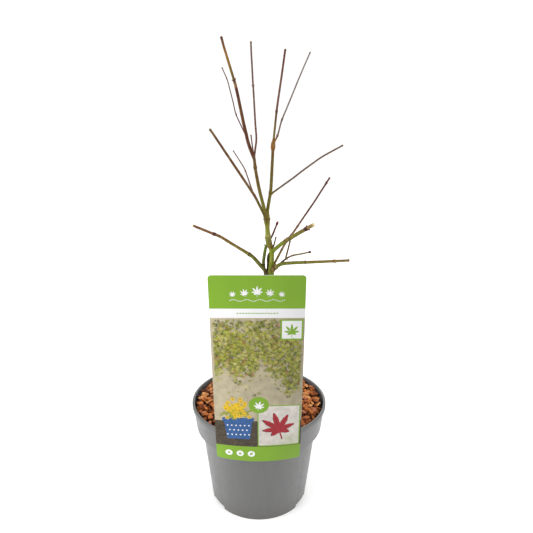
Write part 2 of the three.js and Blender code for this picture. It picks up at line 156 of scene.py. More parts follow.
class Finish:
    """A Principled material that grows node by node."""

    def __init__(self, name, colour, roughness, gloss=0.5):
        self.material = bpy.data.materials.new(name)
        self.material.use_nodes = True
        self.tree = self.material.node_tree
        self.shader = self.tree.nodes["Principled BSDF"]
        self.set("Base Color", light(colour))
        self.set("Roughness", roughness)
        self.set("Specular IOR Level", gloss)
        self.place = self.tree.nodes.new("ShaderNodeTexCoord").outputs["Object"]

    def feed(self, node, socket, value):
        """Sets a node's socket to a value, or links another node's output to it."""
        if isinstance(value, bpy.types.NodeSocket):
            self.tree.links.new(value, node.inputs[socket])
        else:
            node.inputs[socket].default_value = value

    def set(self, socket, value):
        """Sets a socket of the shader, or links it."""
        self.feed(self.shader, socket, value)

    def add(self, kind, inputs, output=0, **settings):
        """A new node's output; inputs are values or other nodes' outputs."""
        made = self.tree.nodes.new("ShaderNode" + kind)
        for key, value in settings.items():
            setattr(made, key, value)
        for socket, value in inputs.items():
            self.feed(made, socket, value)
        return made.outputs[output]

    def pattern(self, kind, size, stretch, **more):
        """A texture of about `size` mm, drawn out by `stretch`."""
        place = self.add("Mapping", {"Vector": self.place, "Scale": [1 / s for s in stretch]})
        return self.add(kind, {"Vector": place, "Scale": 1 / (size * MM), **more})

    def blots(self, size, detail, stretch=(1, 1, 1)):
        """Soft noise with blots of about `size` mm."""
        return self.pattern("TexNoise", size, stretch, Detail=detail)

    def spread(self, value, start, end, low=0.0, high=1.0):
        """Maps start..end on low..high, and stays within them."""
        inputs = {"Value": value, "From Min": start, "From Max": end, "To Min": low, "To Max": high}
        return self.add("MapRange", inputs)

    def reach_on(self, axis):
        """The place on X, Y or Z, which are 0, 1 and 2, in metres."""
        return self.add("SeparateXYZ", {"Vector": self.place}, axis)

    def mixed(self, share, first, second, way="MIX"):
        """Two colours mixed; each is a node's output or 0 to 255 levels."""
        sides = [s if isinstance(s, bpy.types.NodeSocket) else light(s) for s in (first, second)]
        return self.add("Mix", {0: share, 6: sides[0], 7: sides[1]}, 2, data_type="RGBA", blend_type=way)

    def mottled(self, first, second, size, detail, start=0.35, end=0.65):
        """Colours the surface in blots of two colours."""
        share = self.spread(self.blots(size, detail), start, end)
        self.set("Base Color", self.mixed(share, first, second))

    def relief(self, depth, size, detail, stretch=(1, 1, 1)):
        """Lets blots stand `depth` mm out of the surface, over what is there already."""
        blots = self.blots(size, detail, stretch)
        inputs = {"Height": blots, "Distance": depth * MM, "Strength": 1.0}
        if self.shader.inputs["Normal"].is_linked:
            inputs["Normal"] = self.shader.inputs["Normal"].links[0].from_socket
        self.set("Normal", self.add("Bump", inputs))


# %% [markdown]
# ## The studio
# The plant was photographed as a cut-out: white all round and soft light from everywhere.
# A white world gives that light. It shines a little less than the white that the camera
# sees behind the twigs, so that the large lamps at both sides can draw pale edges on the
# round pot and leave its middle darker. The floor is a pale disc that glows faintly and
# thins out at its edge, so its shadows are light and no horizon shows.

# %% Floor, world and lamps
FLOOR_RADIUS = 3.2
FLOOR_FADES_FROM = 0.9
FLOOR_GLOW = 0.3
WORLD_LIGHT = 0.8
BACKDROP_LIGHT = 1.05
LAMPS = {  # place in metres, size in metres, watts
    "lamp_left": ((-1.5, -0.7, 0.9), 1.3, 20),
    "lamp_right": ((1.5, -0.5, 0.8), 1.3, 8),
    "lamp_back": ((0.3, 1.7, 1.3), 1.2, 9),
}
AIM = Vector((0, 0, 0.25))
WHITE = (1, 1, 1, 1)

floor = added(bpy.ops.mesh.primitive_circle_add, vertices=96, radius=FLOOR_RADIUS, fill_type="NGON")
floor.name = "floor"
paper = Finish("floor_paper", (244, 244, 244), 0.9)
paper.set("Emission Color", WHITE)
paper.set("Emission Strength", FLOOR_GLOW)
reach = paper.add("VectorMath", {0: paper.place}, 1, operation="LENGTH")
fading = paper.spread(reach, FLOOR_FADES_FROM, FLOOR_RADIUS)
clear = paper.add("BsdfTransparent", {})
shaded_to_right = paper.add("MixShader", {0: fading, 1: paper.shader.outputs[0], 2: clear})
paper.feed(paper.tree.nodes["Material Output"], "Surface", shaded_to_right)
wear(floor, paper)

world = bpy.data.worlds.new("white_room")
bpy.context.scene.world = world
world.use_nodes = True
sky = world.node_tree
background = sky.nodes["Background"].inputs
background["Color"].default_value = WHITE
seen = sky.nodes.new("ShaderNodeLightPath").outputs["Is Camera Ray"]
brightness = sky.nodes.new("ShaderNodeMapRange")
brightness.inputs["To Min"].default_value = WORLD_LIGHT
brightness.inputs["To Max"].default_value = BACKDROP_LIGHT
sky.links.new(seen, brightness.inputs["Value"])
sky.links.new(brightness.outputs["Result"], background["Strength"])

for name, (spot, size, watts) in LAMPS.items():
    aim = (AIM - Vector(spot)).to_track_quat("-Z", "Y").to_euler()
    lamp = added(bpy.ops.object.light_add, type="AREA", location=spot, rotation=aim)
    lamp.name = name
    lamp.data.size = size
    lamp.data.energy = watts
bpy.context.scene.view_settings.view_transform = "Standard"
print("The studio has", len(LAMPS), "lamps")

# %% [markdown]
# ## The pot
# A nursery pot is moulded in one piece: a foot ring with notches that let water out, a
# tapered body, a ledge, a stiff band and a plain collar round the rim. A lathe profile
# would do, but turning it by hand in edit mode shows how the shape comes about: one
# circle is extruded from ring to ring and resized at each, up the outside, over the rim
# and down the inside. The sizes repeat the solid's, which this piece replaces.

# %% The pot's sizes
GAP = 0.3
POT_HEIGHT = 152
RIM_RADIUS = 95
RIM_DEPTH = 6
RIM_EDGE = 0.8
BAND_TOP_RADIUS = 93.3
BAND_FOOT_RADIUS = 89.5
BAND_FOOT = 114.7
BODY_TOP_RADIUS = 82
FOOT_RADIUS = 69.2
WALL = 1.6
FOOT_RING = 5.2
HUB_RADIUS = 46
CHANNEL = 3.2
NOTCH_BEARINGS = (-148, -28, 32, 152)
NOTCH_SIZE = (18, 30, 5.2)
NOTCH_INSET = 4
NOTCH_BELOW = 2  # how far a cutter reaches under the pot
NOTCH_ROUND = 1.2
MOULD_ROUND = 0.45  # radius of the pot's edges
POT_SEGMENTS = 144
RIM_FOOT = POT_HEIGHT - RIM_DEPTH
FLOOR_TOP = CHANNEL + WALL
LEDGE_TOP = BAND_FOOT + WALL


def line_at(z, low, high):
    """The radius at height z on the line between two (radius, height) points."""
    return low[0] + (high[0] - low[0]) * (z - low[1]) / (high[1] - low[1])


def wall_inner(z):
    """The inside radius of the pot at height z."""
    if z > LEDGE_TOP:
        band = line_at(min(z, RIM_FOOT), (BAND_FOOT_RADIUS, BAND_FOOT), (BAND_TOP_RADIUS, RIM_FOOT))
        return band - WALL
    return line_at(z, (FOOT_RADIUS, 0), (BODY_TOP_RADIUS, BAND_FOOT)) - WALL


MOUTH_RADIUS = wall_inner(POT_HEIGHT)
print("The pot is open", round(2 * MOUTH_RADIUS, 1), "mm across")


# %% Ring by ring up the outside and down the inside
def turned_shell(stations):
    """A closed shell through (radius, height) stations, from one flat middle to another."""
    (radius, height), *others = stations
    shell = added(
        bpy.ops.mesh.primitive_circle_add, vertices=POT_SEGMENTS, radius=radius * MM,
        location=(0, 0, height * MM),
    )
    edit()
    for next_radius, next_height in others:
        rise = (0, 0, (next_height - height) * MM)
        bpy.ops.mesh.extrude_region_move(TRANSFORM_OT_translate={"value": rise})
        grow = next_radius / radius
        bpy.ops.transform.resize(value=(grow, grow, 1), center_override=(0, 0, next_height * MM))
        radius, height = next_radius, next_height
    bpy.ops.mesh.edge_face_add()
    bpy.ops.mesh.select_all(action="DESELECT")
    bpy.ops.mesh.select_non_manifold()
    bpy.ops.mesh.edge_face_add()
    bpy.ops.mesh.select_all(action="SELECT")
    bpy.ops.mesh.normals_make_consistent(inside=False)
    bpy.ops.object.mode_set(mode="OBJECT")
    return shell


pot = turned_shell([
    (HUB_RADIUS, 0), (HUB_RADIUS, CHANNEL), (FOOT_RADIUS - FOOT_RING, CHANNEL),
    (FOOT_RADIUS - FOOT_RING, 0), (FOOT_RADIUS, 0), (BODY_TOP_RADIUS, BAND_FOOT),
    (BAND_FOOT_RADIUS, BAND_FOOT), (BAND_TOP_RADIUS, RIM_FOOT), (RIM_RADIUS, RIM_FOOT),
    (RIM_RADIUS, POT_HEIGHT - RIM_EDGE), (RIM_RADIUS - RIM_EDGE, POT_HEIGHT),
    (MOUTH_RADIUS, POT_HEIGHT), (MOUTH_RADIUS, RIM_FOOT),
    (wall_inner(LEDGE_TOP + 0.01), LEDGE_TOP), (BODY_TOP_RADIUS - WALL, LEDGE_TOP),
    (wall_inner(FLOOR_TOP), FLOOR_TOP), (HUB_RADIUS - WALL, FLOOR_TOP), (HUB_RADIUS - WALL, WALL),
])
modify(pot, "BEVEL", width=MOULD_ROUND * MM, segments=3, angle_limit=math.radians(25))
print("The shell has", len(pot.data.polygons), "faces")

# %% [markdown]
# The notches at the foot are cut with a Boolean. Each cutter is a cube whose edges are
# rounded first, because a mould has no sharp inner corners.

# %% The notches at the foot
for bearing in NOTCH_BEARINGS:
    turn = math.radians(bearing)
    middle = (FOOT_RADIUS - NOTCH_INSET) * MM
    length, width, depth = NOTCH_SIZE
    cutter = added(
        bpy.ops.mesh.primitive_cube_add,
        size=1,
        location=(middle * math.cos(turn), middle * math.sin(turn), (depth - NOTCH_BELOW) / 2 * MM),
        rotation=(0, 0, turn),
        scale=(length * MM, width * MM, (depth + NOTCH_BELOW) * MM),
    )
    bpy.ops.object.transform_apply(location=True, rotation=True, scale=True)
    modify(cutter, "BEVEL", width=NOTCH_ROUND * MM, segments=3)
    modify(pot, "BOOLEAN", operation="DIFFERENCE", solver="EXACT", object=cutter)
    bpy.data.objects.remove(cutter)
smooth(pot, 28)
print("With its notches it has", len(pot.data.polygons), "faces")

# %% [markdown]
# Moulded polypropylene is satin: it takes a soft light edge where it turns away from the
# eye, and its surface has a very fine grain. The melt leaves faint upright streaks, and
# the grey is painted darker in blots above the foot, as painted shade near the floor.

# %% The pot's plastic
FOOT_SHADE_TOP = 30

plastic = Finish("pot_plastic", (95, 95, 95), 0.34, 0.42)
streaks = plastic.spread(plastic.blots(5, 2, stretch=(1, 1, 14)), 0.25, 0.75)
grey = plastic.mixed(streaks, (92, 92, 92), (96, 96, 95))
# Painted shade: blots of darker grey towards the foot, where little light reaches near the floor.
low_down = plastic.spread(plastic.reach_on(2), 0.0, FOOT_SHADE_TOP * MM, 1.0, 0.0)
foot_shade = plastic.add("Math", {0: low_down, 1: plastic.blots(4, 5)}, operation="MULTIPLY")
plastic.set("Base Color", plastic.mixed(foot_shade, grey, (82, 79, 71)))
plastic.set("Roughness", plastic.spread(plastic.blots(9, 4), 0.3, 0.7, 0.3, 0.4))
plastic.relief(0.02, 0.5, 2)
plastic.relief(0.15, 22, 1, stretch=(1, 1, 2))
wear(pot, plastic)
hand_over(pot, "nursery_pot", "pot_plastic", "pot")

# %% [markdown]
# ## The soil
# Only a sliver of it can ever be seen, between the chips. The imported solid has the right
# shape, so it stays and gets a finish: dark compost with paler fibres.

# %% The compost
compost = Finish("compost", (52, 38, 28), 0.95)
compost.mottled((34, 25, 19), (74, 54, 38), 2.5, 6)
compost.relief(0.8, 1.5, 5)
wear(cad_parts["soil"], compost)

# %% [markdown]
# ## The bark mulch
# The pot is topped with broken pine bark: flat flakes, splinters and small blocks of 5 to
# 20 mm that lie as they fell. A dozen chips are broken out of a slab. Two cuts across it
# let it bow, and then its corners and edges are cut off by tilted planes, which leaves
# the flat faces and sharp edges of something that snapped. Hundreds of copies are dropped
# one by one on a height map of the pile, each turned and tilted by a seeded draw, so that
# each one rests on what lies below it. All of them are one mesh, and each chip takes one
# of a few plain colours.

# %% A dozen broken chips
CHIP_SHAPES = [  # length, width and thickness of the slab, in mm
    (15, 8.5, 2.3), (12, 7, 2.8), (20, 5.6, 2.2), (11, 6.4, 3), (14, 10, 2.1), (10, 4.8, 2.4),
    (22, 4.4, 2.2), (13, 8.4, 2.4), (18, 6, 2.8), (9, 4.6, 2.2), (15, 4, 2.4), (12, 7.4, 3),
]
CHIP_BOW = 0.055  # of its length
BOW_CUTS = (-0.18, 0.15)  # where it bows, in lengths from its middle
CORNER_CUTS = 7

draw = random.Random(11)


def cut_off(plane_point, plane_normal, keep_outside=False):
    """Cuts the mesh being edited by a plane, and drops what lies beyond it."""
    bpy.ops.mesh.select_all(action="SELECT")
    bpy.ops.mesh.bisect(
        plane_co=plane_point, plane_no=plane_normal, use_fill=not keep_outside,
        clear_outer=not keep_outside,
    )


def broken_chip(length, width, thickness):
    """A chip of bark about the origin, lying flat along X."""
    chip = added(
        bpy.ops.mesh.primitive_cube_add, size=1, scale=(length * MM, width * MM, thickness * MM))
    bpy.ops.object.transform_apply(scale=True)
    edit()
    for part in BOW_CUTS:
        cut_off((part * length * MM, 0, 0), (1, draw.uniform(-0.3, 0.3), 0), keep_outside=True)
    bpy.ops.object.mode_set(mode="OBJECT")
    for vertex in chip.data.vertices:
        part = 2 * vertex.co.x / (length * MM)
        vertex.co.z += CHIP_BOW * length * MM * (1 - part * part)
    edit()
    half = Vector((length, width, thickness)) * 0.5 * MM
    for k in range(CORNER_CUTS):
        turn = (k + draw.uniform(-0.3, 0.3)) * 2 * math.pi / CORNER_CUTS
        normal = Vector((math.cos(turn), math.sin(turn), draw.uniform(-0.8, 0.8))).normalized()
        reach = half.dot(Vector(map(abs, normal)))
        cut_off(normal * reach * draw.uniform(0.58, 0.8), normal)
    bpy.ops.mesh.normals_make_consistent(inside=False)
    bpy.ops.object.mode_set(mode="OBJECT")
    return chip


def corners_and_faces(obj):
    """An object's points as an array and its faces as lists, and the object is gone."""
    points = np.array([v.co for v in obj.data.vertices])
    faces = [list(p.vertices) for p in obj.data.polygons]
    bpy.data.objects.remove(obj)
    return points, faces


chips = [corners_and_faces(broken_chip(*shape)) for shape in CHIP_SHAPES]
print("The chips have", [len(faces) for _, faces in chips], "faces")


# %% One mesh out of many copies
def joined_mesh(name, parts, finishes):
    """One object from (points, faces, finish number) parts."""
    points, faces, kinds, count = [], [], [], 0
    for part_points, part_faces, kind in parts:
        points.append(part_points)
        faces += [[count + i for i in face] for face in part_faces]
        kinds += [kind] * len(part_faces)
        count += len(part_points)
    mesh = bpy.data.meshes.new(name)
    mesh.from_pydata(np.vstack(points).tolist(), [], faces)
    obj = bpy.data.objects.new(name, mesh)
    bpy.context.scene.collection.objects.link(obj)
    wear(obj, *finishes)
    mesh.polygons.foreach_set("material_index", kinds)
    return obj


# %% Dropping the chips
CHIP_COUNT = 1050
BED_TOP = 142.6
PILE_TOP = 150.8
CELL = 2.5  # of the height map
MAP_HALF = 105  # half the height map's side
CHIP_SIZES = (0.66, 1.12)
CHIP_TILT = 0.3
CHIP_ROLL = 0.42
CHIP_DEAL = (0, 0, 0, 0, 1, 1, 1, 2, 2, 3, 3, 4)  # how often each colour comes
NESTLE = 1.2  # how far a chip sinks between its neighbours
TRIES = 5
TRUNK_CLEAR = 7.5
WALL_CLEAR = 1
CROWDING = 0.43  # below 0.5 more chips fall near the wall
TONGUE_HALF_WIDTH = 20
TONGUE_FRONT = 86  # the label's tongue stands in front of this, on -Y

MAP_CELLS = round(2 * MAP_HALF / CELL)
pile = np.full((MAP_CELLS, MAP_CELLS), BED_TOP)


def cells_of(points):
    """The cells of the height map under some points."""
    return tuple(((points[:, :2] + MAP_HALF) / CELL).astype(int).T)


def allowed(points):
    """Whether a chip stays inside the wall, and off the trunk and the label's tongue."""
    reach = np.hypot(points[:, 0], points[:, 1])
    in_tongue = (np.abs(points[:, 0]) < TONGUE_HALF_WIDTH) & (points[:, 1] < -TONGUE_FRONT)
    return reach.max() < MOUTH_RADIUS - WALL_CLEAR and reach.min() > TRUNK_CLEAR and not in_tongue.any()


def tossed(shape):
    """A copy of a chip, turned, tilted and put down somewhere on the pile."""
    tilt = draw.gauss(0, CHIP_TILT)
    roll = draw.gauss(0, CHIP_ROLL)
    turn = draw.uniform(-math.pi, math.pi)
    facing = Matrix.Rotation(turn, 3, "Z") @ Matrix.Rotation(tilt, 3, "Y")
    rotation = np.array(facing @ Matrix.Rotation(roll, 3, "X"))
    size = draw.uniform(*CHIP_SIZES)
    points = (shape / MM * size) @ rotation.T
    reach = MOUTH_RADIUS * draw.random() ** CROWDING
    bearing = draw.uniform(-math.pi, math.pi)
    points[:, 0] += reach * math.cos(bearing)
    points[:, 1] += reach * math.sin(bearing)
    if not allowed(points):
        return None
    points[:, 2] += (pile[cells_of(points)] - points[:, 2]).max() - NESTLE
    return points


fallen = []
for number in range(CHIP_COUNT):
    shape, faces = chips[number % len(chips)]
    landed = [p for p in (tossed(shape) for _ in range(TRIES)) if p is not None]
    landed = [p for p in landed if p[:, 2].max() < PILE_TOP]
    if landed:
        best = min(landed, key=lambda p: p[:, 2].max())
        np.maximum.at(pile, cells_of(best), best[:, 2])
        fallen.append((best * MM, faces, draw.choice(CHIP_DEAL)))
print(len(fallen), "chips lie up to", round(max(p[:, 2].max() for p, _, _ in fallen) / MM, 1), "mm")

# %% [markdown]
# Bark is darkest in its pores and on its outside, and shows a paler, pinkish inside where
# it broke. The finish reads two sizes of noise, one for the colour and one for the grain.
# Under the chips lies a bed of crumbs, so that no gap shows the soil; its near-black colour is painted shade
# for the gaps between the chips.

# %% The chips' finishes, and the bed under them
CHIP_COLOURS = {  # the pores' colour and the fresh colour
    "bark_orange": ((126, 62, 26), (206, 124, 62)),
    "bark_brown": ((98, 48, 21), (172, 98, 52)),
    "bark_pale": ((168, 102, 54), (226, 164, 102)),
    "bark_dark": ((62, 30, 15), (116, 60, 33)),
    "bark_pink": ((134, 72, 48), (192, 122, 88)),
}
BED_CLEAR = 2.5  # off the wall
BED_SUNK = 0.6
BED_LUMPS = 2.2
BED_THICK = 2.6


def bark_chip_finish(name, pores, fresh):
    finish = Finish(name, fresh, 0.82, 0.2)
    finish.mottled(pores, fresh, 3.2, 5, 0.36, 0.6)
    finish.relief(0.4, 1.4, 5)
    return finish


chip_finishes = [bark_chip_finish(name, *pair) for name, pair in CHIP_COLOURS.items()]
mulch = joined_mesh("bark_chips", fallen, chip_finishes)

bed = added(
    bpy.ops.mesh.primitive_circle_add, vertices=72, radius=(MOUTH_RADIUS - BED_CLEAR) * MM,
    fill_type="TRIFAN", location=(0, 0, (BED_TOP - BED_SUNK) * MM),
)
edit()
bpy.ops.mesh.subdivide(number_cuts=6)
bpy.ops.object.mode_set(mode="OBJECT")
lumps = bpy.data.textures.new("bed_lumps", "CLOUDS")
lumps.noise_scale = 0.006
modify(bed, "DISPLACE", texture=lumps, strength=BED_LUMPS * MM, direction="Z", mid_level=0.8)
modify(bed, "SOLIDIFY", thickness=BED_THICK * MM, offset=-1)
# The bed's near-black crumbs are painted shade in the gaps between the chips.
wear(bed, bark_chip_finish("bark_crumbs_and_gap_shade", (24, 14, 9), (62, 36, 22)))
hand_over(bed, "bark_bed", "bark_chips")
hand_over(mulch, "bark_chip_pile", "bark_chips", "bark_mulch")

# %% [markdown]
# ## The label
# A stiff plastic sheet, 108 mm wide, leans out over the rim, and its foot curls back
# round the pot. It was pushed in by hand, so it stands a little to the left and a little
# askew. A tongue behind it reaches down inside the wall and holds it. The sheet is a grid
# with a row of edges wherever the print changes colour, so that the print's borders are
# real edges. Each point of the grid is then put on the bent surface.

# %% The bent surface
LABEL_WIDTH = 108.5
LABEL_FOOT = 113
LABEL_TOP = 380.5
LABEL_SHEET = 0.6  # the print on its front takes the rest of the solid's 0.8 mm
LABEL_LEAN = math.tan(math.radians(7.9))
LABEL_TILT = math.tan(math.radians(0.3))
LABEL_OFF = 0.8
LABEL_CORNER = 4
LABEL_CURL = 10
LABEL_CURL_FADE = 60


def sheet_bend(x, z):
    """How far the curled foot brings the sheet back at its sides."""
    return LABEL_CURL * math.exp(-(z - LABEL_FOOT) / LABEL_CURL_FADE) * (2 * x / LABEL_WIDTH) ** 2


def sheet_back(x, z):
    """Y of the sheet's back."""
    return -(RIM_RADIUS + GAP + 0.1) - (z - RIM_FOOT) * LABEL_LEAN + sheet_bend(x, z)


def askew(x, z):
    """Where a point x mm from the sheet's middle line really stands."""
    return x - LABEL_OFF - (z - LABEL_FOOT) * LABEL_TILT


def on_print(x, z, proud=0.0):
    """A place on the label's printed side, in metres."""
    return askew(x, z) * MM, (sheet_back(x, z) - LABEL_SHEET - proud) * MM, z * MM


def half_width(z):
    """Half the sheet's width, less at its rounded corners."""
    d = max(0, LABEL_CORNER - min(z - LABEL_FOOT, LABEL_TOP - z))
    return LABEL_WIDTH / 2 - LABEL_CORNER + math.sqrt(LABEL_CORNER ** 2 - d ** 2)


# %% The sheet, in bands of print
HEADER_FOOT = 339
STRIPE_FOOT = 327
GROUND_TOP = 179
BAND_TOP = 137.7
PRINT_BANDS = [  # height where each band ends, from the foot up, and its finish
    (BAND_TOP, "label_green"), (GROUND_TOP, "label_earth"), (STRIPE_FOOT, "label_wall"),
    (HEADER_FOOT, "label_white"), (LABEL_TOP, "label_green"),
]
LABEL_COLUMNS = 28
ROW_HEIGHT = 5
CORNER_ROWS = [0, 0.15, 0.6, 1.4, 2.6, LABEL_CORNER]


def sheet_rows():
    """The heights of the grid's rows: at every border, closer at the corners."""
    rows = {LABEL_FOOT + d for d in CORNER_ROWS} | {LABEL_TOP - d for d in CORNER_ROWS}
    start = LABEL_FOOT + LABEL_CORNER
    for end, _ in PRINT_BANDS:
        end = min(end, LABEL_TOP - LABEL_CORNER)
        rows |= set(np.linspace(start, end, max(2, round((end - start) / ROW_HEIGHT)) + 1).tolist())
        start = end
    rows = sorted(rows)
    return [z for i, z in enumerate(rows) if i == 0 or z - rows[i - 1] > 0.05]


rows = sheet_rows()
sheet = added(
    bpy.ops.mesh.primitive_grid_add, x_subdivisions=LABEL_COLUMNS, y_subdivisions=len(rows) - 1, size=1)
for vertex in sheet.data.vertices:
    z = rows[round((vertex.co.y + 0.5) * (len(rows) - 1))]
    vertex.co = on_print(2 * vertex.co.x * half_width(z), z)
print("The sheet has", len(rows), "rows of points")

# %% [markdown]
# Ink on a plastic sheet is even and slightly glossy. Each ink is painted a little darker
# towards the right, as painted shade where less light fell, and the picture's pale wall and dark ground are
# mottled.


# %% The label's finishes
def ink(name, colour, right_shade=0.8, blot=3.0, contrast=0.06):
    """A print colour with painted shade: it darkens to `right_shade` of itself at the sheet's right, mottled
    a little.
    """
    finish = Finish(name, colour, 0.36, 0.3)
    # Painted shade: the ink darkens across the sheet towards its right, where less light fell.
    share = finish.spread(finish.reach_on(0), -LABEL_WIDTH / 2 * MM, LABEL_WIDTH / 2 * MM)
    shaded_to_right = finish.mixed(share, colour, [right_shade * level for level in colour])
    mottle = finish.spread(finish.blots(blot, 4), 0.35, 0.65)
    shade = finish.mixed(mottle, [round(255 * (1 - contrast))] * 3, (255, 255, 255))
    finish.set("Base Color", finish.mixed(1.0, shaded_to_right, shade, "MULTIPLY"))
    finish.relief(0.12, 30, 1)
    return finish


# An ink's second value is its painted shade: how dark it gets at the sheet's right.
INK_COLOURS = {  # the colour, and where it differs from most, its fade, blots and contrast
    "label_green": ((119, 161, 30), 0.88, 40, 0.03),
    "label_white": ((230, 230, 230), 0.86, 30, 0.02),
    "label_wall": ((182, 171, 142), 0.8, 9, 0.1),
    "label_earth": ((76, 64, 46), 0.85, 3, 0.35),
    "label_pale": ((200, 194, 186), 0.95, 7, 0.1),
    "blade_dark": ((74, 78, 18),),
    "blade_olive": ((108, 112, 26),),
    "blade_green": ((136, 142, 38),),
    "blade_lime": ((172, 174, 66),),
    "blade_straw": ((198, 188, 116),),
    "blade_amber": ((158, 118, 56),),
    "leaf_crimson": ((160, 20, 36), 0.95, 2, 0.16),
    "leaf_dark": ((110, 12, 26),),
    "pot_blue": ((42, 88, 146), 0.9, 4, 0.14),
    "petal_yellow": ((222, 184, 8), 0.95, 2, 0.14),
}
INKS = {name: ink(name, *settings) for name, settings in INK_COLOURS.items()}
ink_number = {name: i for i, name in enumerate(INKS)}
wear(sheet, *INKS.values())
for face in sheet.data.polygons:
    z = face.center.z / MM
    face.material_index = ink_number[next(kind for end, kind in PRINT_BANDS if z < end)]
print("The label is printed in", len(INKS), "inks")

# %% [markdown]
# The sheet gets its thickness backwards, so the printed side stays where the rule put
# it. Its back, its edges and the tongue are the bare white plastic.

# %% Thickness and the tongue behind
BARE = len(INKS)
bare = Finish("label_plastic", (226, 228, 224), 0.42)
bare.set("Base Color", bare.mixed(bare.blots(25, 2), (218, 220, 216), (226, 228, 224)))
bare.relief(0.02, 0.6, 2)
sheet.data.materials.append(bare.material)
modify(sheet, "SOLIDIFY", thickness=LABEL_SHEET * MM, offset=-1, material_offset=BARE,
       material_offset_rim=BARE)

TONGUE_WIDTH = 36
TONGUE_THICK = 0.8
TONGUE_ROWS = 40
WRAP_FROM = 172  # below this the tongue takes the pot's curve
WRAP_OVER = 16
TONGUE_PATH = [  # (y, z) from the sheet's back over the rim and down inside the wall
    (sheet_back(0, 186) - 0.2, 186), (sheet_back(0, 179) - 0.15, 179), (sheet_back(0, 172), 172),
    (-MOUTH_RADIUS + 0.1, 159), (-MOUTH_RADIUS + 1.1, 155), (-MOUTH_RADIUS + 1.3, 151),
    (-wall_inner(136.5) + 0.6, 136.5),
]
path_y, path_z = zip(*reversed(TONGUE_PATH))

tongue = added(bpy.ops.mesh.primitive_grid_add, x_subdivisions=12, y_subdivisions=TONGUE_ROWS, size=1)
for vertex in tongue.data.vertices:
    x = vertex.co.x * TONGUE_WIDTH
    z = path_z[0] + (path_z[-1] - path_z[0]) * (vertex.co.y + 0.5)
    y = np.interp(z, path_z, path_y)
    wrap = np.clip((WRAP_FROM - z) / WRAP_OVER, 0, 1)
    bend = (1 - wrap) * sheet_bend(x, z) + wrap * x * x / (2 * MOUTH_RADIUS)
    vertex.co = (askew(x, z) * MM, (y + bend) * MM, z * MM)
wear(tongue, bare)
modify(tongue, "SOLIDIFY", thickness=TONGUE_THICK * MM, offset=-1)
pick(sheet, tongue)
bpy.ops.object.join()
smooth(sheet, 30)
hand_over(sheet, "plant_label", "label_sheet", "label")

# %% [markdown]
# The print is a generic garden picture: lacy green leaves that hang in front of a pale
# wall, a blue pot of yellow flowers on dark ground, and a framed crimson leaf. Everything
# in it is a flat outline of a few triangles, laid on the bent sheet like paint. A map of
# the sheet counts the coats under each place, and each new shape lies one thin coat above
# the highest that it covers, so no two shapes ever share a height.

# %% Flat outlines, one unit in size
LOBES = [(-122, 0.52), (-81, 0.78), (-40, 0.95), (0, 1.0), (40, 0.95), (81, 0.78), (122, 0.52)]
LOBE_EDGE = [(20, 0), (16, 0.14), (13.5, 0.3), (10.5, 0.46), (7.2, 0.62), (3.8, 0.81)]  # degrees, share
LACE_EDGE = [(19, 0), (9, 0.35), (6.5, 0.7)]
STALK = [(0.03, -0.2), (0.03, -0.62), (-0.03, -0.62), (-0.03, -0.2)]


def palmate_leaf(edge=LOBE_EDGE, valley=0.36, teeth=0.0):
    """A seven-lobed leaf that points up from its stalk; `teeth` notches its edges."""
    outline = []
    sides = [(-1, spot) for spot in edge] + [(0, (0, 1.0))] + [(1, spot) for spot in edge[::-1]]
    for bearing, length in LOBES:
        for k, (side, (off, share)) in enumerate(sides):
            part = valley + (length - valley) * share + (teeth if k % 2 and side else 0) * length
            turn = math.radians(bearing + side * off)
            outline.append((part * math.sin(turn), part * math.cos(turn)))
    return outline + STALK


def ring(reaches, squash=1):
    """An outline round the middle, whose corners lie at these reaches."""
    turns = [2 * math.pi * k / len(reaches) for k in range(len(reaches))]
    return [(r * math.sin(a), squash * r * math.cos(a)) for r, a in zip(reaches, turns)]


def disc(sides=32):
    return ring([1] * sides)


def cloud(corners=18):
    """An uneven patch."""
    return ring([draw.uniform(0.55, 1.0) for _ in range(corners)], 0.8)


def blade(slim=0.16):
    """A narrow pointed blade."""
    return [(0, 1), (slim, 0.35), (slim, -0.4), (0, -1), (-slim, -0.4), (-slim, 0.35)]


def plate(width, height):
    """A rectangle about its middle."""
    x, z = width / 2, height / 2
    return [(-x, -z), (-x, z), (x, z), (x, -z)]


# %% Laying a shape on the sheet
FLAT_SPAN = 4  # widest triangle that may stay flat where the sheet bends most, in mm
FLAT_GROWS = 120  # mm up the sheet in which that grows e-fold
MAP_MIDDLE = 56  # the map of coats reaches this far to each side
MAP_HEIGHT = 272
coats = np.zeros((2 * MAP_MIDDLE, MAP_HEIGHT), int)  # on every square millimetre of the sheet
printed = []


def quartered(triangles):
    """Each triangle as four, cut at the middles of its edges."""
    a, b, c = triangles[:, 0], triangles[:, 1], triangles[:, 2]
    ab, bc, ca = (a + b) / 2, (b + c) / 2, (c + a) / 2
    parts = [(a, ab, ca), (ab, b, bc), (ca, bc, c), (ab, bc, ca)]
    return np.concatenate([np.stack(part, axis=1) for part in parts])


def stamp(outline, x, z, size, turn, kind):
    """Prints an outline, `size` mm to a unit and turned by `turn` degrees."""
    c, s = math.cos(math.radians(turn)), math.sin(math.radians(turn))
    spots = np.array([(0.0, 0.0), *outline]) * size
    across = x + spots[:, 0] * c + spots[:, 1] * s
    up = z + spots[:, 1] * c - spots[:, 0] * s
    left, right = int(across.min() + MAP_MIDDLE), int(across.max() + MAP_MIDDLE) + 1
    foot, top = int(up.min() - LABEL_FOOT), int(up.max() - LABEL_FOOT) + 1
    coat = coats[left:right, foot:top].max() + 1
    coats[left:right, foot:top] = coat
    edge = np.column_stack((across, up))[1:]
    middle = np.tile((across[0], up[0]), (len(edge), 1))
    triangles = np.stack((middle, np.roll(edge, -1, axis=0), edge), axis=1)
    while np.ptp(triangles, axis=1).max() > FLAT_SPAN * math.exp((z - LABEL_FOOT) / FLAT_GROWS):
        triangles = quartered(triangles)
    printed.append((triangles.reshape(-1, 2), coat, kind))


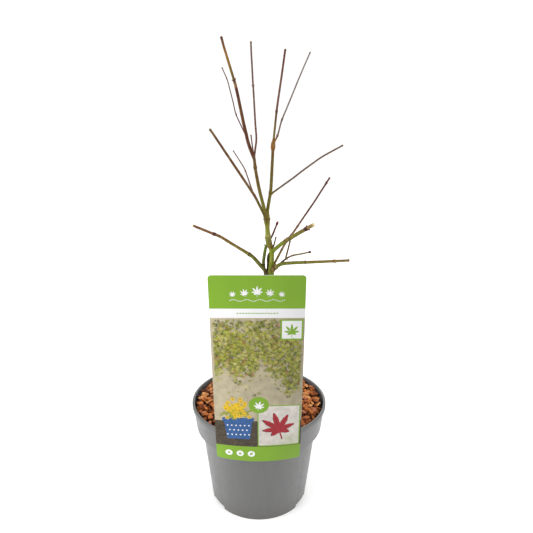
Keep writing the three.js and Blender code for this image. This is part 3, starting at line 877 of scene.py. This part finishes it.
# %% Sprays of lacy leaves that hang into the picture
PANEL_SIDE = LABEL_WIDTH / 2 - 3.5
SPRAY_TOP = STRIPE_FOOT - 2
SPRAY_FOOT = 216
TWIG_COUNT = 18
TWIG_REACH = (9, 18)
TWIG_FOOT = 285
LEAF_SIZES = (1.7, 4)
SPRAY_COUNT = 4300
STRAY_SHARE = 0.02
SPRAY_INKS = [  # from the deepest leaves to the nearest
    ("blade_dark", "blade_olive", "blade_olive"),
    ("blade_dark", "blade_olive", "blade_green"),
    ("blade_dark", "blade_green", "blade_lime", "blade_amber"),
    ("blade_olive", "blade_green", "blade_lime", "blade_lime", "blade_straw"),
]


def spray_share(x, z):
    """How thickly leaves lie: thin under the panel's top, full below it, with a ragged hem."""
    hem = 246 + 9 * math.sin(x / 9 + 0.6) + 6 * math.sin(x / 3.3) - 0.008 * (x + 12) ** 2
    open_top = 0.3 + 0.7 * np.clip((SPRAY_TOP + 2 - z) / 30, 0, 1)
    return open_top * np.clip((z - hem) / 26, 0, 1)


for _ in range(TWIG_COUNT):
    reach = draw.uniform(*TWIG_REACH)
    x, z = draw.uniform(-1, 1) * (PANEL_SIDE - reach), draw.uniform(TWIG_FOOT, SPRAY_TOP - reach)
    stamp(blade(0.03), x, z, reach, draw.gauss(0, 50), "blade_amber")
for k in range(SPRAY_COUNT):
    x, z = draw.uniform(-1, 1) * PANEL_SIDE, draw.uniform(SPRAY_FOOT, SPRAY_TOP)
    if draw.random() < STRAY_SHARE + spray_share(x, z):
        kind = draw.choice(SPRAY_INKS[len(SPRAY_INKS) * k // SPRAY_COUNT])
        size = min(draw.uniform(*LEAF_SIZES), PANEL_SIDE + 1.5 - abs(x), SPRAY_TOP + 1.5 - z)
        stamp(palmate_leaf(LACE_EDGE, 0.14), x, z, size, draw.gauss(180, 45), kind)
print(len(printed), "shapes in at most", coats.max(), "coats")

# %% The blue pot of flowers under them
POT_X = -25
DOT_GAP = 5.4

stamp([(-0.8, -1), (-1, 0.75), (1, 0.75), (0.8, -1)], POT_X, 168, 18, 0, "pot_blue")
stamp(plate(2.2, 0.34), POT_X, 181, 18, 0, "pot_blue")
for row in range(3):
    for column in range(6 - row % 2):
        dot_x = POT_X + (column - 2.5 + 0.5 * (row % 2)) * DOT_GAP
        stamp(disc(8), dot_x, 157 + 7.4 * row, 1.1, 0, "label_white")
for _ in range(30):
    stamp(blade(0.2), POT_X + draw.gauss(0, 9), draw.uniform(185, 196), 6, draw.gauss(0, 30), "blade_green")
for _ in range(44):
    x, z = POT_X + draw.gauss(0, 8.5), 198 + draw.gauss(0, 6.5)
    for petal in range(5):
        turn = 72 * petal + 20 * x
        out = (math.sin(math.radians(turn)), math.cos(math.radians(turn)))
        stamp(blade(0.5), x + 1.9 * out[0], z + 1.9 * out[1], 1.7, turn, "petal_yellow")
    stamp(disc(6), x, z, 0.9, 0, "blade_amber")
print("The coats are now at most", coats.max())

# %% The framed leaf, the badges and the bands
INSET_X, INSET_Z = 26, 171
INSET_TURN = -14
BADGE_X, BADGE_Z = 39.5, 311.5
BAND_MIDDLE = 125.5
DISC_X, DISC_GAP = -38, 14.5

stamp(plate(53, 65), INSET_X, INSET_Z, 1, 0, "label_green")
stamp(plate(50.5, 62.5), INSET_X, INSET_Z, 1, 0, "label_pale")
stamp(palmate_leaf(teeth=0.04), INSET_X, INSET_Z - 5.5, 27.5, INSET_TURN, "leaf_dark")
stamp(palmate_leaf(teeth=0.03), INSET_X + 0.3, INSET_Z - 5, 26, INSET_TURN, "leaf_crimson")
for bearing, length in LOBES:
    turn = math.radians(bearing + INSET_TURN)
    vein = 11.5 * length
    place = (INSET_X + vein * math.sin(turn), INSET_Z - 5.3 + vein * math.cos(turn))
    stamp(blade(0.025), *place, vein, bearing + INSET_TURN, "leaf_dark")
stamp(disc(40), 1, 204, 12.5, 0, "label_green")
stamp(palmate_leaf(), 1, 201, 9, 12, "label_white")
stamp(plate(26, 27), BADGE_X, BADGE_Z, 1, 0, "label_green")
stamp(plate(22.5, 23.5), BADGE_X, BADGE_Z, 1, 0, "label_white")
stamp(palmate_leaf(), BADGE_X, BADGE_Z - 3.5, 11.5, 0, "label_green")
for across, size, turn in ((-27, 5, -30), (-14, 6.5, -14), (0, 8.5, 0), (14, 6.5, 14), (27, 5, 30)):
    stamp(palmate_leaf(), across, 359 - 0.1 * abs(across), size, turn, "label_white")
for k in range(33):
    stamp(disc(8), (k - 16) * 1.9, 349.5 + 1.1 * math.sin(k * 0.8), 0.62, 0, "label_white")
for k in range(15):
    stamp(blade(0.4), (k - 7) * 3.2, (HEADER_FOOT + STRIPE_FOOT) / 2, 1.6, 62, "label_green")
for k in range(3):
    stamp(disc(), DISC_X + DISC_GAP * k, BAND_MIDDLE, 4.7, 0, "label_white")
stamp(cloud(), DISC_X, BAND_MIDDLE, 2.4, 0, "label_green")
stamp(palmate_leaf(), DISC_X + DISC_GAP, BAND_MIDDLE - 1, 3.4, 10, "label_green")
stamp(blade(0.5), DISC_X + 2 * DISC_GAP, BAND_MIDDLE, 3.1, 35, "label_green")
print("The print lies in", coats.max(), "coats")

# %% The print as one mesh
FIRST_COAT = 0.02  # mm in front of the sheet
LAST_COAT = 0.18
step = (LAST_COAT - FIRST_COAT) / coats.max()
print_parts = []
for corners, coat, kind in printed:
    places = np.array([on_print(x, z, FIRST_COAT + step * coat) for x, z in corners])
    print_parts.append((places, np.arange(len(places)).reshape(-1, 3).tolist(), ink_number[kind]))
hand_over(joined_mesh("label_print", print_parts, INKS.values()), "label_print", "label_sheet")

# %% [markdown]
# ## How the maple grows
# Each shoot is a chain of legs, and each leg has a length, a bearing and a rise. The
# shoot eases from leg to leg, and at each node it turns a little, by its seed. The rule
# and its legs are the solids' own, written again here, so that the finer shoots run
# exactly where the solids are. The girths differ, because the faceted solids are a little
# slimmer on the thinnest shoots, and six shoots end 2 mm further on or sooner. A shoot
# starts on its parent's axis.

# %% The shoots
STEP = 2
EASE = 7
WANDER = 0.03
SOIL_TOP = 136
SHOOTS = {}


def plan(name, start, internode, legs, girth, end=None, tip_bud=(1, 1)):
    """Notes a shoot: its parent and the place on it, its node spacing, legs, girth and end.

    The girth is the radius at base and tip, or a list of (mm, radius) pairs, and tip_bud
    is how much fatter and longer than most its last bud is.
    """
    SHOOTS[name] = dict(start=start, internode=internode, legs=legs, girth=girth, end=end,
                        tip_bud=tip_bud, seed=len(SHOOTS) + 1)


plan("trunk", None, 60, [(233, 14, 86), (16, 178, 71), (36, 160, 87)],
     [(0, 8), (5, 6.3), (14, 5.2), (186, 4.3), (204, 4.2), (218, 3), (237, 2.9), (246, 4), (253, 4),
      (260, 3), (266, 2.8), (273, 3.7), (279, 4.1), (285, 3)], end="fork")
plan("leftLeader", ("trunk", 279), 30, [(40, -146, 74.5), (24, -144, 78), (17, -141, 84)],
     [(0, 2.9), (10, 2.2), (81, 1.75)], end="fork")
plan("tallLeft", ("leftLeader", 80), 47, [(19, 151, 65), (65, 142, 73), (68, 149, 72)],
     [(0, 1.95), (30, 1.98), (60, 1.8), (88, 1.75), (100, 1.5), (152, 1.35)])
plan("slenderLeft", ("tallLeft", 26), 18, [(37, 129, 51), (46, 122, 65), (18, 135, 55)], (0.62, 0.54))
plan("frontLeft", ("tallLeft", 1), 44, [(25, -69, 67), (65, -104, 72), (49, -97, 79)], (1.1, 0.88))
plan("frontStub", ("tallLeft", 1), 30, [(34, -103, 61)], (0.8, 0.6))
plan("rightLeader", ("trunk", 279), 40, [(12, 37, 82), (25, 37, 76.5), (59, 58, 82.5)],
     [(0, 2.6), (10, 2), (86, 1.75), (91, 3), (96, 2.6)], end="fork")
plan("tallRight", ("rightLeader", 96), 40, [(53, 50, 80), (62, 46, 79.5)], (1.3, 1.15))
plan("slenderRight", ("rightLeader", 96), 17, [(9, -38, 50), (21, -48, 69), (94, -52, 57.5)],
     (0.95, 0.65))
plan("archRight", ("rightLeader", 31), 40, [(51, 21, 33), (35, 14, 32), (31, 15, 26)], (1.1, 1))
plan("midLeft", ("trunk", 268), 50, [(14, -118, 66), (36, -133, 55), (55, -143, 52), (53, -139, 51)],
     (1.7, 1.2))
plan("midLeftTwig", ("midLeft", 55), 30, [(34, 122, 56), (32, 133, 42)], (0.75, 0.5))
plan("lowLeft", ("trunk", 198), 37, [(10, 172, 50), (28, 148, 39), (60, 143, 19), (43, 159, 15)],
     [(0, 2.5), (40, 2.4), (60, 2), (100, 2), (110, 1.8), (141, 1.7)], end="cut")
plan("cutRight", ("trunk", 233), 30, [(26, -42, 40), (56, -42, 33)],
     [(0, 2.35), (48, 2.4), (82, 2.1)], end="cut")
plan("longRight", ("trunk", 208), 37, [(41, 40, 52), (24, 32, 44), (87, 32, 49)],
     [(0, 1.55), (60, 1.35), (72, 1.2), (152, 1.05)])
plan("lowRight", ("trunk", 207), 40, [(21, -43, 38), (97, -30, 11)],
     [(0, 3.6), (8, 2.6), (20, 2.2), (118, 1.4)])
plan("innerRight", ("lowRight", 16), 20, [(11, 2, 45), (13, -35, 35), (36, -48, 19)], (1.15, 0.8),
     tip_bud=(1.5, 1.35))
plan("innerRightTwig", ("innerRight", 13), 14, [(26, 54, 64)], (1.05, 0.9))
plan("backStem", ("trunk", 186), 25,
     [(12, 122, 40), (20, 165, 78), (26, 10, 80), (14, -18, 57), (24, -28, 69)],
     [(0, 1.9), (40, 2), (56, 1.9), (64, 1.4), (94, 0.85)], tip_bud=(1.45, 2))
plan("backTwig", ("backStem", 12), 25, [(12, 10, 80), (20, 140, 88), (11, 0, 50), (17, 0, 76)],
     [(0, 1.9), (32, 1.8), (38, 1), (60, 0.7)])
plan("backSpur", ("backStem", 56), 11, [(5, 128, 27)], (0.65, 0.5))
print(len(SHOOTS), "shoots")


# %% The growth rule
def wobble(seed, k):
    """A repeatable value from -1 to 1."""
    x = math.sin(seed * 12.9898 + k * 78.233) * 43758.5453
    return (x - math.floor(x)) * 2 - 1


def heading(bearing, rise):
    """The direction of a leg."""
    b, r = math.radians(bearing), math.radians(rise)
    return Vector((math.cos(r) * math.cos(b), math.cos(r) * math.sin(b), math.sin(r)))


def grow(start, legs, internode, seed):
    """The points of a shoot's centre line, the distance between them, and its length."""
    ends = np.cumsum([leg[0] for leg in legs])
    headings = [heading(*leg[1:]) for leg in legs]
    count = max(4, math.floor(ends[-1] / STEP + 0.5))
    step = float(ends[-1]) / count
    points = [Vector(start)]
    for k in range(count):
        s = (k + 0.5) * step
        leg = min(int(np.searchsorted(ends, s)), len(legs) - 1)
        way = headings[leg].copy()
        ahead = ends[leg] - s
        behind = s - (ends[leg - 1] if leg else -math.inf)
        if leg + 1 < len(legs) and ahead < EASE:
            way = way.lerp(headings[leg + 1], 0.5 * (1 - ahead / EASE))
        if leg and behind < EASE:
            way = way.lerp(headings[leg - 1], 0.5 * (1 - behind / EASE))
        n = 3 * math.floor(s / internode)
        way += WANDER * Vector((wobble(seed, n), wobble(seed, n + 1), wobble(seed, n + 2)))
        points.append(points[-1] + way.normalized() * step)
    return points, step, float(ends[-1])


def along(spine, s):
    """The point and the direction of a centre line s mm along it."""
    points, step, _ = spine
    i = min(max(math.floor(s / step), 0), len(points) - 2)
    way = (points[i + 1] - points[i]).normalized()
    return points[i] + way * (s - i * step), way


def girth_at(name, s):
    """A shoot's radius s mm from its base."""
    girth = SHOOTS[name]["girth"]
    if not isinstance(girth, list):
        girth = [(0, girth[0]), (spines[name][2], girth[1])]
    return float(np.interp(s, *zip(*girth)))


spines = {}
for name, shoot in SHOOTS.items():
    start = Vector((0, 0, SOIL_TOP + GAP))
    if shoot["start"]:
        parent, at = shoot["start"]
        start = along(spines[parent], min(at, spines[parent][2]))[0]
    spines[name] = grow(start, shoot["legs"], shoot["internode"], shoot["seed"])
tallest = max(p.z for points, _, _ in spines.values() for p in points)
print("The plant is", round(tallest), "mm tall above the floor")

# %% [markdown]
# ## Bark that belongs to its shoot
# Young maple bark changes along a shoot: green where it is oldest and stoutest, brown or
# wine red towards the tip, with a dark scar ring at each node. Each shoot has a short
# list of colours along its length, and the points of its mesh carry the colour as an
# attribute. The finish adds streaks, specks and relief on top.

# %% The colours along each shoot
BARK = {  # (mm from the base, colour)
    "trunk": [
        (0, (112, 100, 58)), (20, (118, 114, 44)), (195, (104, 110, 36)), (207, (104, 117, 38)),
        (219, (122, 132, 32)), (234, (140, 148, 42)), (241, (126, 108, 50)), (248, (112, 116, 42)),
        (254, (142, 140, 88)), (262, (132, 140, 46)), (274, (124, 122, 44)), (285, (116, 106, 48)),
    ],
    "leftLeader": [(0, (122, 120, 50)), (28, (118, 112, 46)), (46, (112, 90, 40)), (81, (104, 76, 40))],
    "tallLeft": [
        (0, (98, 60, 40)), (20, (96, 55, 36)), (35, (94, 52, 34)), (50, (102, 61, 36)),
        (62, (104, 70, 36)), (74, (92, 48, 36)), (87, (87, 43, 36)), (90, (146, 108, 70)),
        (94, (140, 102, 64)), (99, (100, 86, 44)),
        (112, (132, 104, 46)), (130, (152, 108, 52)), (145, (106, 68, 44)),
        (152, (86, 56, 46)),
    ],
    "slenderLeft": [(0, (92, 54, 44)), (101, (104, 66, 56))],
    "frontLeft": [(0, (110, 70, 58)), (40, (112, 78, 70)), (90, (112, 82, 78)), (137, (112, 86, 88))],
    "frontStub": [(0, (100, 60, 50)), (34, (100, 50, 50))],
    "rightLeader": [(0, (118, 114, 42)), (48, (110, 99, 35)), (72, (111, 92, 46)), (86, (112, 80, 44)),
                    (90, (146, 98, 46)), (96, (140, 90, 44))],
    "tallRight": [(0, (152, 102, 48)), (7, (124, 106, 56)), (24, (112, 92, 50)), (36, (102, 76, 48)),
                  (42, (104, 66, 54)), (52, (116, 82, 74)), (72, (118, 86, 78)), (90, (106, 66, 58)),
                  (115, (98, 54, 46))],
    "slenderRight": [(0, (150, 98, 48)), (10, (130, 84, 54)), (14, (112, 90, 84)), (45, (126, 108, 110)),
                     (126, (126, 110, 112))],
    "archRight": [(0, (118, 106, 60)), (20, (116, 96, 86)), (60, (116, 94, 84)), (85, (112, 90, 80)),
                  (117, (116, 94, 80))],
    "midLeft": [
        (0, (112, 106, 42)), (12, (104, 92, 36)), (40, (104, 88, 34)), (54, (106, 78, 42)),
        (64, (118, 92, 66)), (76, (118, 86, 58)), (90, (106, 68, 38)), (120, (98, 56, 30)),
        (140, (98, 60, 38)), (150, (98, 66, 42)), (158, (122, 106, 70)),
    ],
    "midLeftTwig": [(0, (96, 60, 44)), (64, (110, 76, 62))],
    "lowLeft": [
        (0, (58, 36, 24)), (9, (66, 52, 26)), (16, (92, 96, 30)), (40, (104, 108, 32)), (50, (114, 106, 36)),
        (64, (118, 104, 40)), (76, (118, 98, 38)), (90, (116, 86, 42)), (103, (116, 80, 48)),
        (112, (122, 82, 50)), (124, (122, 84, 42)), (133, (102, 64, 38)), (139, (136, 100, 66)),
        (141, (190, 160, 120)),
    ],
    "cutRight": [
        (0, (108, 122, 28)), (14, (116, 128, 34)), (27, (120, 128, 40)), (32, (120, 104, 50)),
        (40, (118, 110, 40)), (55, (118, 112, 46)), (66, (122, 104, 56)),
        (68, (96, 60, 48)), (71, (84, 50, 48)), (73, (132, 108, 72)), (79, (142, 116, 76)),
        (82, (186, 158, 108)),
    ],
    "longRight": [(0, (122, 108, 50)), (15, (128, 114, 62)), (30, (152, 130, 84)), (45, (142, 118, 74)),
                  (58, (144, 116, 84)), (66, (126, 94, 68)), (70, (150, 110, 88)), (74, (118, 84, 70)),
                  (86, (112, 78, 68)), (104, (100, 64, 60)),
                  (152, (102, 56, 58))],
    "lowRight": [(0, (98, 92, 34)), (10, (108, 82, 46)), (16, (104, 108, 32)), (48, (110, 112, 32)),
                 (70, (122, 112, 38)), (98, (126, 108, 50)), (118, (126, 104, 60))],
    "innerRight": [(0, (54, 40, 28)), (9, (70, 52, 34)), (13, (104, 90, 44)), (22, (108, 80, 50)),
                   (34, (118, 104, 58)), (56, (114, 94, 56)), (57.5, (96, 42, 38)), (60, (90, 38, 36))],
    "innerRightTwig": [(0, (96, 88, 38)), (26, (106, 88, 52))],
    # The dark first colours of backStem and of backTwig are painted shade: these stems run in the shadow
    # behind the trunk.
    "backStem": [(0, (56, 40, 24)), (12, (62, 52, 26)), (24, (84, 92, 36)), (50, (104, 116, 44)),
                 (60, (96, 112, 40)), (72, (104, 78, 44)), (80, (108, 62, 46)), (89, (108, 60, 46)),
                 (91, (106, 46, 40)), (96, (112, 54, 44))],
    "backTwig": [(0, (46, 32, 20)), (14, (44, 42, 18)), (32, (70, 66, 28)), (60, (96, 68, 56))],
    "backSpur": [(0, (110, 90, 50)), (5, (84, 46, 38))],
}
NODES = {  # mm from the base, and how strongly the node shows
    "trunk": ((241, 0.8), (254, 0.8), (278, 1)),
    "leftLeader": ((68.5, 1),),
    "tallLeft": ((96.7, 1.7),),
    "slenderLeft": ((35, 0.8), (83.5, 0.8)),
    "frontLeft": ((39, 0.8), (90, 0.8)),
    "rightLeader": ((33, 1),),
    "tallRight": ((39.5, 1.4),),
    "slenderRight": ((11, 1.2), (33.2, 1.5)),
    "archRight": ((1.5, 0.8),),
    "midLeft": ((12.5, 1), (52.5, 1)),
    "midLeftTwig": ((31, 0.8),),
    "lowLeft": ((43, 1.3), (106.5, 2)),
    "cutRight": ((30.5, 1.4), (39, 1.2), (69.5, 2)),
    "longRight": ((31.5, 1), (41.5, 0.8), (54, 1), (69.5, 1.3), (141.6, 1.5)),
    "lowRight": ((10, 1.2), (57.5, 1.1), (97, 1)),
    "innerRight": ((13.5, 1), (27.5, 1)),
    "backStem": ((31, 1),),
    "backTwig": ((20, 1),),
}
SCAR_COLOUR = (66, 34, 38)
SCAR_SHARE = 0.45  # of that colour in the ring at a node
SCAR_HALF = 0.7
SCAR_PALE = 0.2  # and how much paler the line just above it is


def bell(distance, half):
    return math.exp(-(distance / half) ** 2)


def bark_colour(name, s):
    """The bark's colour s mm along a shoot, from 0 to 255."""
    places = [mm for mm, _ in BARK[name]]
    colour = np.array([np.interp(s, places, [c[i] for _, c in BARK[name]]) for i in range(3)])
    for node, strength in NODES.get(name, ()):
        scar = min(0.92, SCAR_SHARE * strength) * bell(s - node, SCAR_HALF * strength ** 1.6)
        colour = colour * (1 - scar) + scar * np.array(SCAR_COLOUR)
        colour *= 1 + SCAR_PALE * bell(s - node - 2 * strength, SCAR_HALF)
    return np.clip(colour, 0, 255)


print(sum(len(nodes) for nodes in NODES.values()), "nodes show")

# %% [markdown]
# A shoot is drawn as a curve. Each of its points carries its own radius, and a round
# bevel turns the line into a tube: swollen at the nodes, flared where it leaves its
# parent, with a bud, a fork or a clean cut at its end. Once the curve is a mesh, its
# points are pushed in and out along furrows that run with the shoot.

# %% How thick a shoot is along its length
ROW = 0.9
FULLER = 0.15  # the bark is this much stouter than the faceted solid
FLARE = 0.4
FLARE_FADE = 2.2
NODE_SWELL = 0.2
NODE_HALF = 1.1
EASED = 1.2  # how far on each side a point of the centre line is eased
TIP_BUD = [(3, 1), (2.4, 1.15), (1.7, 1.25), (1.0, 1.05), (0.4, 0.65), (0, 0.3)]  # back from the tip
TIP_DOME = [(0, 1), (0.4, 0.9), (0.7, 0.7), (0.95, 0.25)]  # past the end, in radii


def stations_of(name):
    """(distance, radius) pairs from a shoot's base to its tip."""
    shoot, length = SHOOTS[name], spines[name][2]
    fat, long = shoot["tip_bud"]
    tip = 0 if shoot["end"] else TIP_BUD[0][0] * long
    count = round((length - tip) / ROW)
    parent_radius = girth_at(*shoot["start"]) if shoot["start"] else 0
    stations = []
    for k in range(count):
        s = (length - tip) * k / count
        swell = sum(NODE_SWELL * strength * bell(s - node, NODE_HALF * strength)
                    for node, strength in NODES.get(name, ()))
        r = girth_at(name, s) * (1 + swell) + FULLER
        if parent_radius:
            r *= 1 + FLARE * math.exp(-max(0, s - parent_radius) / FLARE_FADE)
            r = min(r, max(0.94 * parent_radius, girth_at(name, s)) + FULLER)
        stations.append((s, r))
    r = girth_at(name, length) + FULLER
    if shoot["end"] == "fork":
        return stations + [(length + r * past, r * part) for past, part in TIP_DOME]
    if shoot["end"] == "cut":
        return stations + [(length, r)]
    bud = [(length - back * long, r * part * fat) for back, part in TIP_BUD[1:]]
    return stations + [(length - tip, r)] + bud


def smooth_along(name, s):
    """A point of the centre line, eased over its neighbours."""
    near = [along(spines[name], s + d)[0] for d in (-EASED, 0, 0, EASED)]
    return sum(near, Vector()) / len(near)


print("The trunk is drawn with", len(stations_of("trunk")), "stations")

# %% From curve to bark
FURROW = 0.035  # depth of the furrows, as a share of the radius
FURROW_TURN = 2.1  # how fast the furrows change round a shoot
FURROW_LONG = 14  # and in how many mm along it
SEED_APART = 7
LUMP = 0.05
LUMP_TURN = 1.1
LUMP_LONG = 5
# The side towards SUN reddens, as maple bark does in the sun, and is also painted darker as shade against
# the light from above.
SUN = Vector((0.5, 0.3, 1)).normalized()  # the side of a shoot that reddens
SUN_RED_AND_SHADE_TINT = np.array((0.98, 0.85, 0.84))
SHADE_TINT = np.array((0.98, 1.05, 0.96))


def drawn_shoot(name, sides):
    """A shoot as a mesh with relief, whose points carry the bark's colour."""
    stations = stations_of(name)
    centres = [smooth_along(name, s) for s, _ in stations]
    curve = added(bpy.ops.curve.primitive_nurbs_path_add)
    curve.data.splines.clear()
    line = curve.data.splines.new("POLY")
    line.points.add(len(stations) - 1)
    for point, centre, (_, radius) in zip(line.points, centres, stations):
        point.co = (*(centre * MM), 1)
        point.radius = radius
    curve.data.bevel_depth = MM
    curve.data.bevel_resolution = (sides - 4) // 2
    bpy.ops.object.convert(target="MESH")
    limb = bpy.context.object
    assert len(limb.data.vertices) == len(stations) * sides
    shades = [bark_colour(name, s) for s, _ in stations]
    paint = limb.data.attributes.new("bark", "FLOAT_COLOR", "POINT")
    for vertex in limb.data.vertices:
        row = vertex.index // sides
        s, radius = stations[row]
        centre = centres[row] * MM
        out = (vertex.co - centre) / (radius * MM)
        rise = s / FURROW_LONG + SEED_APART * SHOOTS[name]["seed"]
        spot = out * FURROW_TURN + Vector((0, 0, rise))
        lump = noise.noise(Vector((out.x, out.y, out.z + s / LUMP_LONG)) * LUMP_TURN)
        deep = 1 + FURROW * noise.noise(spot * 2) + LUMP * lump
        vertex.co = centre + (vertex.co - centre) * deep
        # Painted shade: the top side of each shoot is darkened as well as reddened, and the underside is a
        # little greener.
        side = 0.5 + 0.5 * out.normalized().dot(SUN)
        red_and_shade_tint = side * SUN_RED_AND_SHADE_TINT + (1 - side) * SHADE_TINT
        paint.data[vertex.index].color = light(np.clip(shades[row] * red_and_shade_tint, 0, 255))
    return limb


# %% [markdown]
# The bark's finish multiplies the colour that the points carry by long streaks, and
# strews pale specks, which are the pores that young bark breathes through.


# %% The bark's finishes
def bark_finish(name, roughness, speck_share, pale_share):
    finish = Finish(name, (120, 110, 50), roughness, 0.14)
    painted = finish.add("Attribute", {}, attribute_name="bark")
    streak = finish.spread(finish.blots(1.1, 4, stretch=(1, 1, 5)), 0.3, 0.7)
    shaded = finish.mixed(streak, (206, 202, 190), (255, 255, 255))
    colour = finish.mixed(1.0, painted, shaded, "MULTIPLY")
    patches = finish.spread(finish.blots(5, 4, stretch=(1, 1, 2)), 0.55, 0.72, 0.0, pale_share)
    colour = finish.mixed(patches, colour, (156, 152, 96))
    near = finish.pattern("TexVoronoi", 2.2, (1, 1, 1.6))
    specks = finish.spread(near, 0.1, 0.2, speck_share, 0.0)
    finish.set("Base Color", finish.mixed(specks, colour, (170, 152, 104)))
    finish.relief(0.08, 0.7, 3, stretch=(1, 1, 4))
    return finish


BARK_FINISHES = {  # by slot
    "green_bark": bark_finish("green_bark", 0.55, 0.3, 0.4),
    "brown_bark": bark_finish("brown_bark", 0.52, 0.25, 0.25),
    "red_twigs": bark_finish("red_bark", 0.5, 0.16, 0.1),
}
cut_wood = Finish("cut_wood", (206, 186, 140), 0.7, 0.2)
cut_wood.mottled((190, 168, 122), (222, 206, 164), 0.6, 4)
print("The bark has", len(BARK_FINISHES), "finishes")

# %% The limbs
LIMBS = {  # piece: its node, its slot, its sides and the shoots in it
    "trunk_bark": ("trunk", "green_bark", 24, "trunk"),
    "left_leader_bark": ("left_leader", "brown_bark", 16, "leftLeader"),
    "right_leader_bark": ("right_leader", "brown_bark", 16, "rightLeader"),
    "left_crown": (
        "left_crown_twigs", "red_twigs", 12, "tallLeft", "slenderLeft", "frontLeft", "frontStub"),
    "right_crown": ("right_crown_twigs", "red_twigs", 12, "tallRight", "slenderRight"),
    "arching_right_bark": ("arching_right_bough", "brown_bark", 12, "archRight"),
    "mid_left_bark": ("mid_left_bough", "brown_bark", 16, "midLeft"),
    "mid_left_twig_bark": ("mid_left_twig", "brown_bark", 12, "midLeftTwig"),
    "low_left_bark": ("low_left_bough", "green_bark", 16, "lowLeft"),
    "cut_right_bark": ("cut_right_bough", "green_bark", 16, "cutRight"),
    "long_right_bark": ("long_right_bough", "brown_bark", 12, "longRight"),
    "low_right_bark": ("low_right_bough", "green_bark", 16, "lowRight"),
    "low_right_shoots": ("low_right_twigs", "red_twigs", 12, "innerRight", "innerRightTwig"),
    "back_shoots": ("back_twigs", "red_twigs", 12, "backStem", "backTwig", "backSpur"),
}

for piece, (node, slot, sides, *names) in LIMBS.items():
    whole, *others = [drawn_shoot(name, sides) for name in names]
    pick(whole, *others)
    if others:
        bpy.ops.object.join()
    edit()
    bpy.ops.mesh.fill_holes(sides=0)
    bpy.ops.mesh.normals_make_consistent(inside=False)
    bpy.ops.object.mode_set(mode="OBJECT")
    wear(whole, BARK_FINISHES[slot])
    if SHOOTS[names[0]]["end"] == "cut":
        whole.data.materials.append(cut_wood.material)
        caps = [face for face in whole.data.polygons if len(face.vertices) == sides]
        max(caps, key=lambda face: abs(face.center.x)).material_index = 1
    smooth(whole, 45)
    hand_over(whole, piece, slot, node)

# %% [markdown]
# ## The buds
# Two buds face each other at every node, small, pointed and dark red, each pair square to
# the last. One bud is shaped from a sphere: its lower half is kept round, its upper half
# is drawn out to a point. The copies are turned and placed by the growth rule.

# %% One bud
bud = added(bpy.ops.mesh.primitive_uv_sphere_add, segments=10, ring_count=8, radius=0.5)
for vertex in bud.data.vertices:
    up = vertex.co.z + 0.5
    slim = 1.0 - 0.55 * max(0, up - 0.35)
    vertex.co = (vertex.co.x * slim, vertex.co.y * slim, up)
bud_points, bud_faces = corners_and_faces(bud)
print("A bud has", len(bud_faces), "faces")

# %% A pair at every node
BUD_LEAN = math.radians(36)
BUD_TWIST = 0.4
SEATED = 0.28  # share of a bud's length, from the axis, where it starts


def placed_bud(point, out, length, width):
    turn = out.to_track_quat("Z", "X").to_matrix()
    base = point + out * length * SEATED
    sized = bud_points * np.array((width, width, length * (1 - SEATED)))
    return (sized @ np.array(turn).T + np.array(base)) * MM


buds = []
for name, shoot in SHOOTS.items():
    if not shoot["start"]:
        continue
    seed = shoot["seed"]
    for k, (s, strength) in enumerate(NODES.get(name, ())):
        point, way = along(spines[name], s)
        r = girth_at(name, s)
        grown = 0.7 + 0.3 * strength
        side = Vector((0, 0, 1)) - way * way.z
        side.normalize()
        side.rotate(Matrix.Rotation(k * math.pi / 2 + wobble(seed, 50 + k) * BUD_TWIST, 3, way))
        for sign in (1, -1):
            length = grown * (1.9 + 0.75 * r + 0.3 * wobble(seed, 90 + 2 * k + sign))
            out = way * math.cos(BUD_LEAN) + side * sign * math.sin(BUD_LEAN)
            seat = point + side * sign * 0.45 * r
            buds.append((placed_bud(seat, out, length, grown * (0.8 + 0.4 * r)), bud_faces, 0))
bud_scales = Finish("bud_scales", (104, 44, 40), 0.42)
bud_scales.mottled((84, 36, 32), (138, 72, 58), 1.2, 3)
bud_scales.relief(0.05, 0.4, 2)
all_buds = joined_mesh("buds", buds, [bud_scales])
smooth(all_buds, 50)
hand_over(all_buds, "winter_buds", "red_twigs")
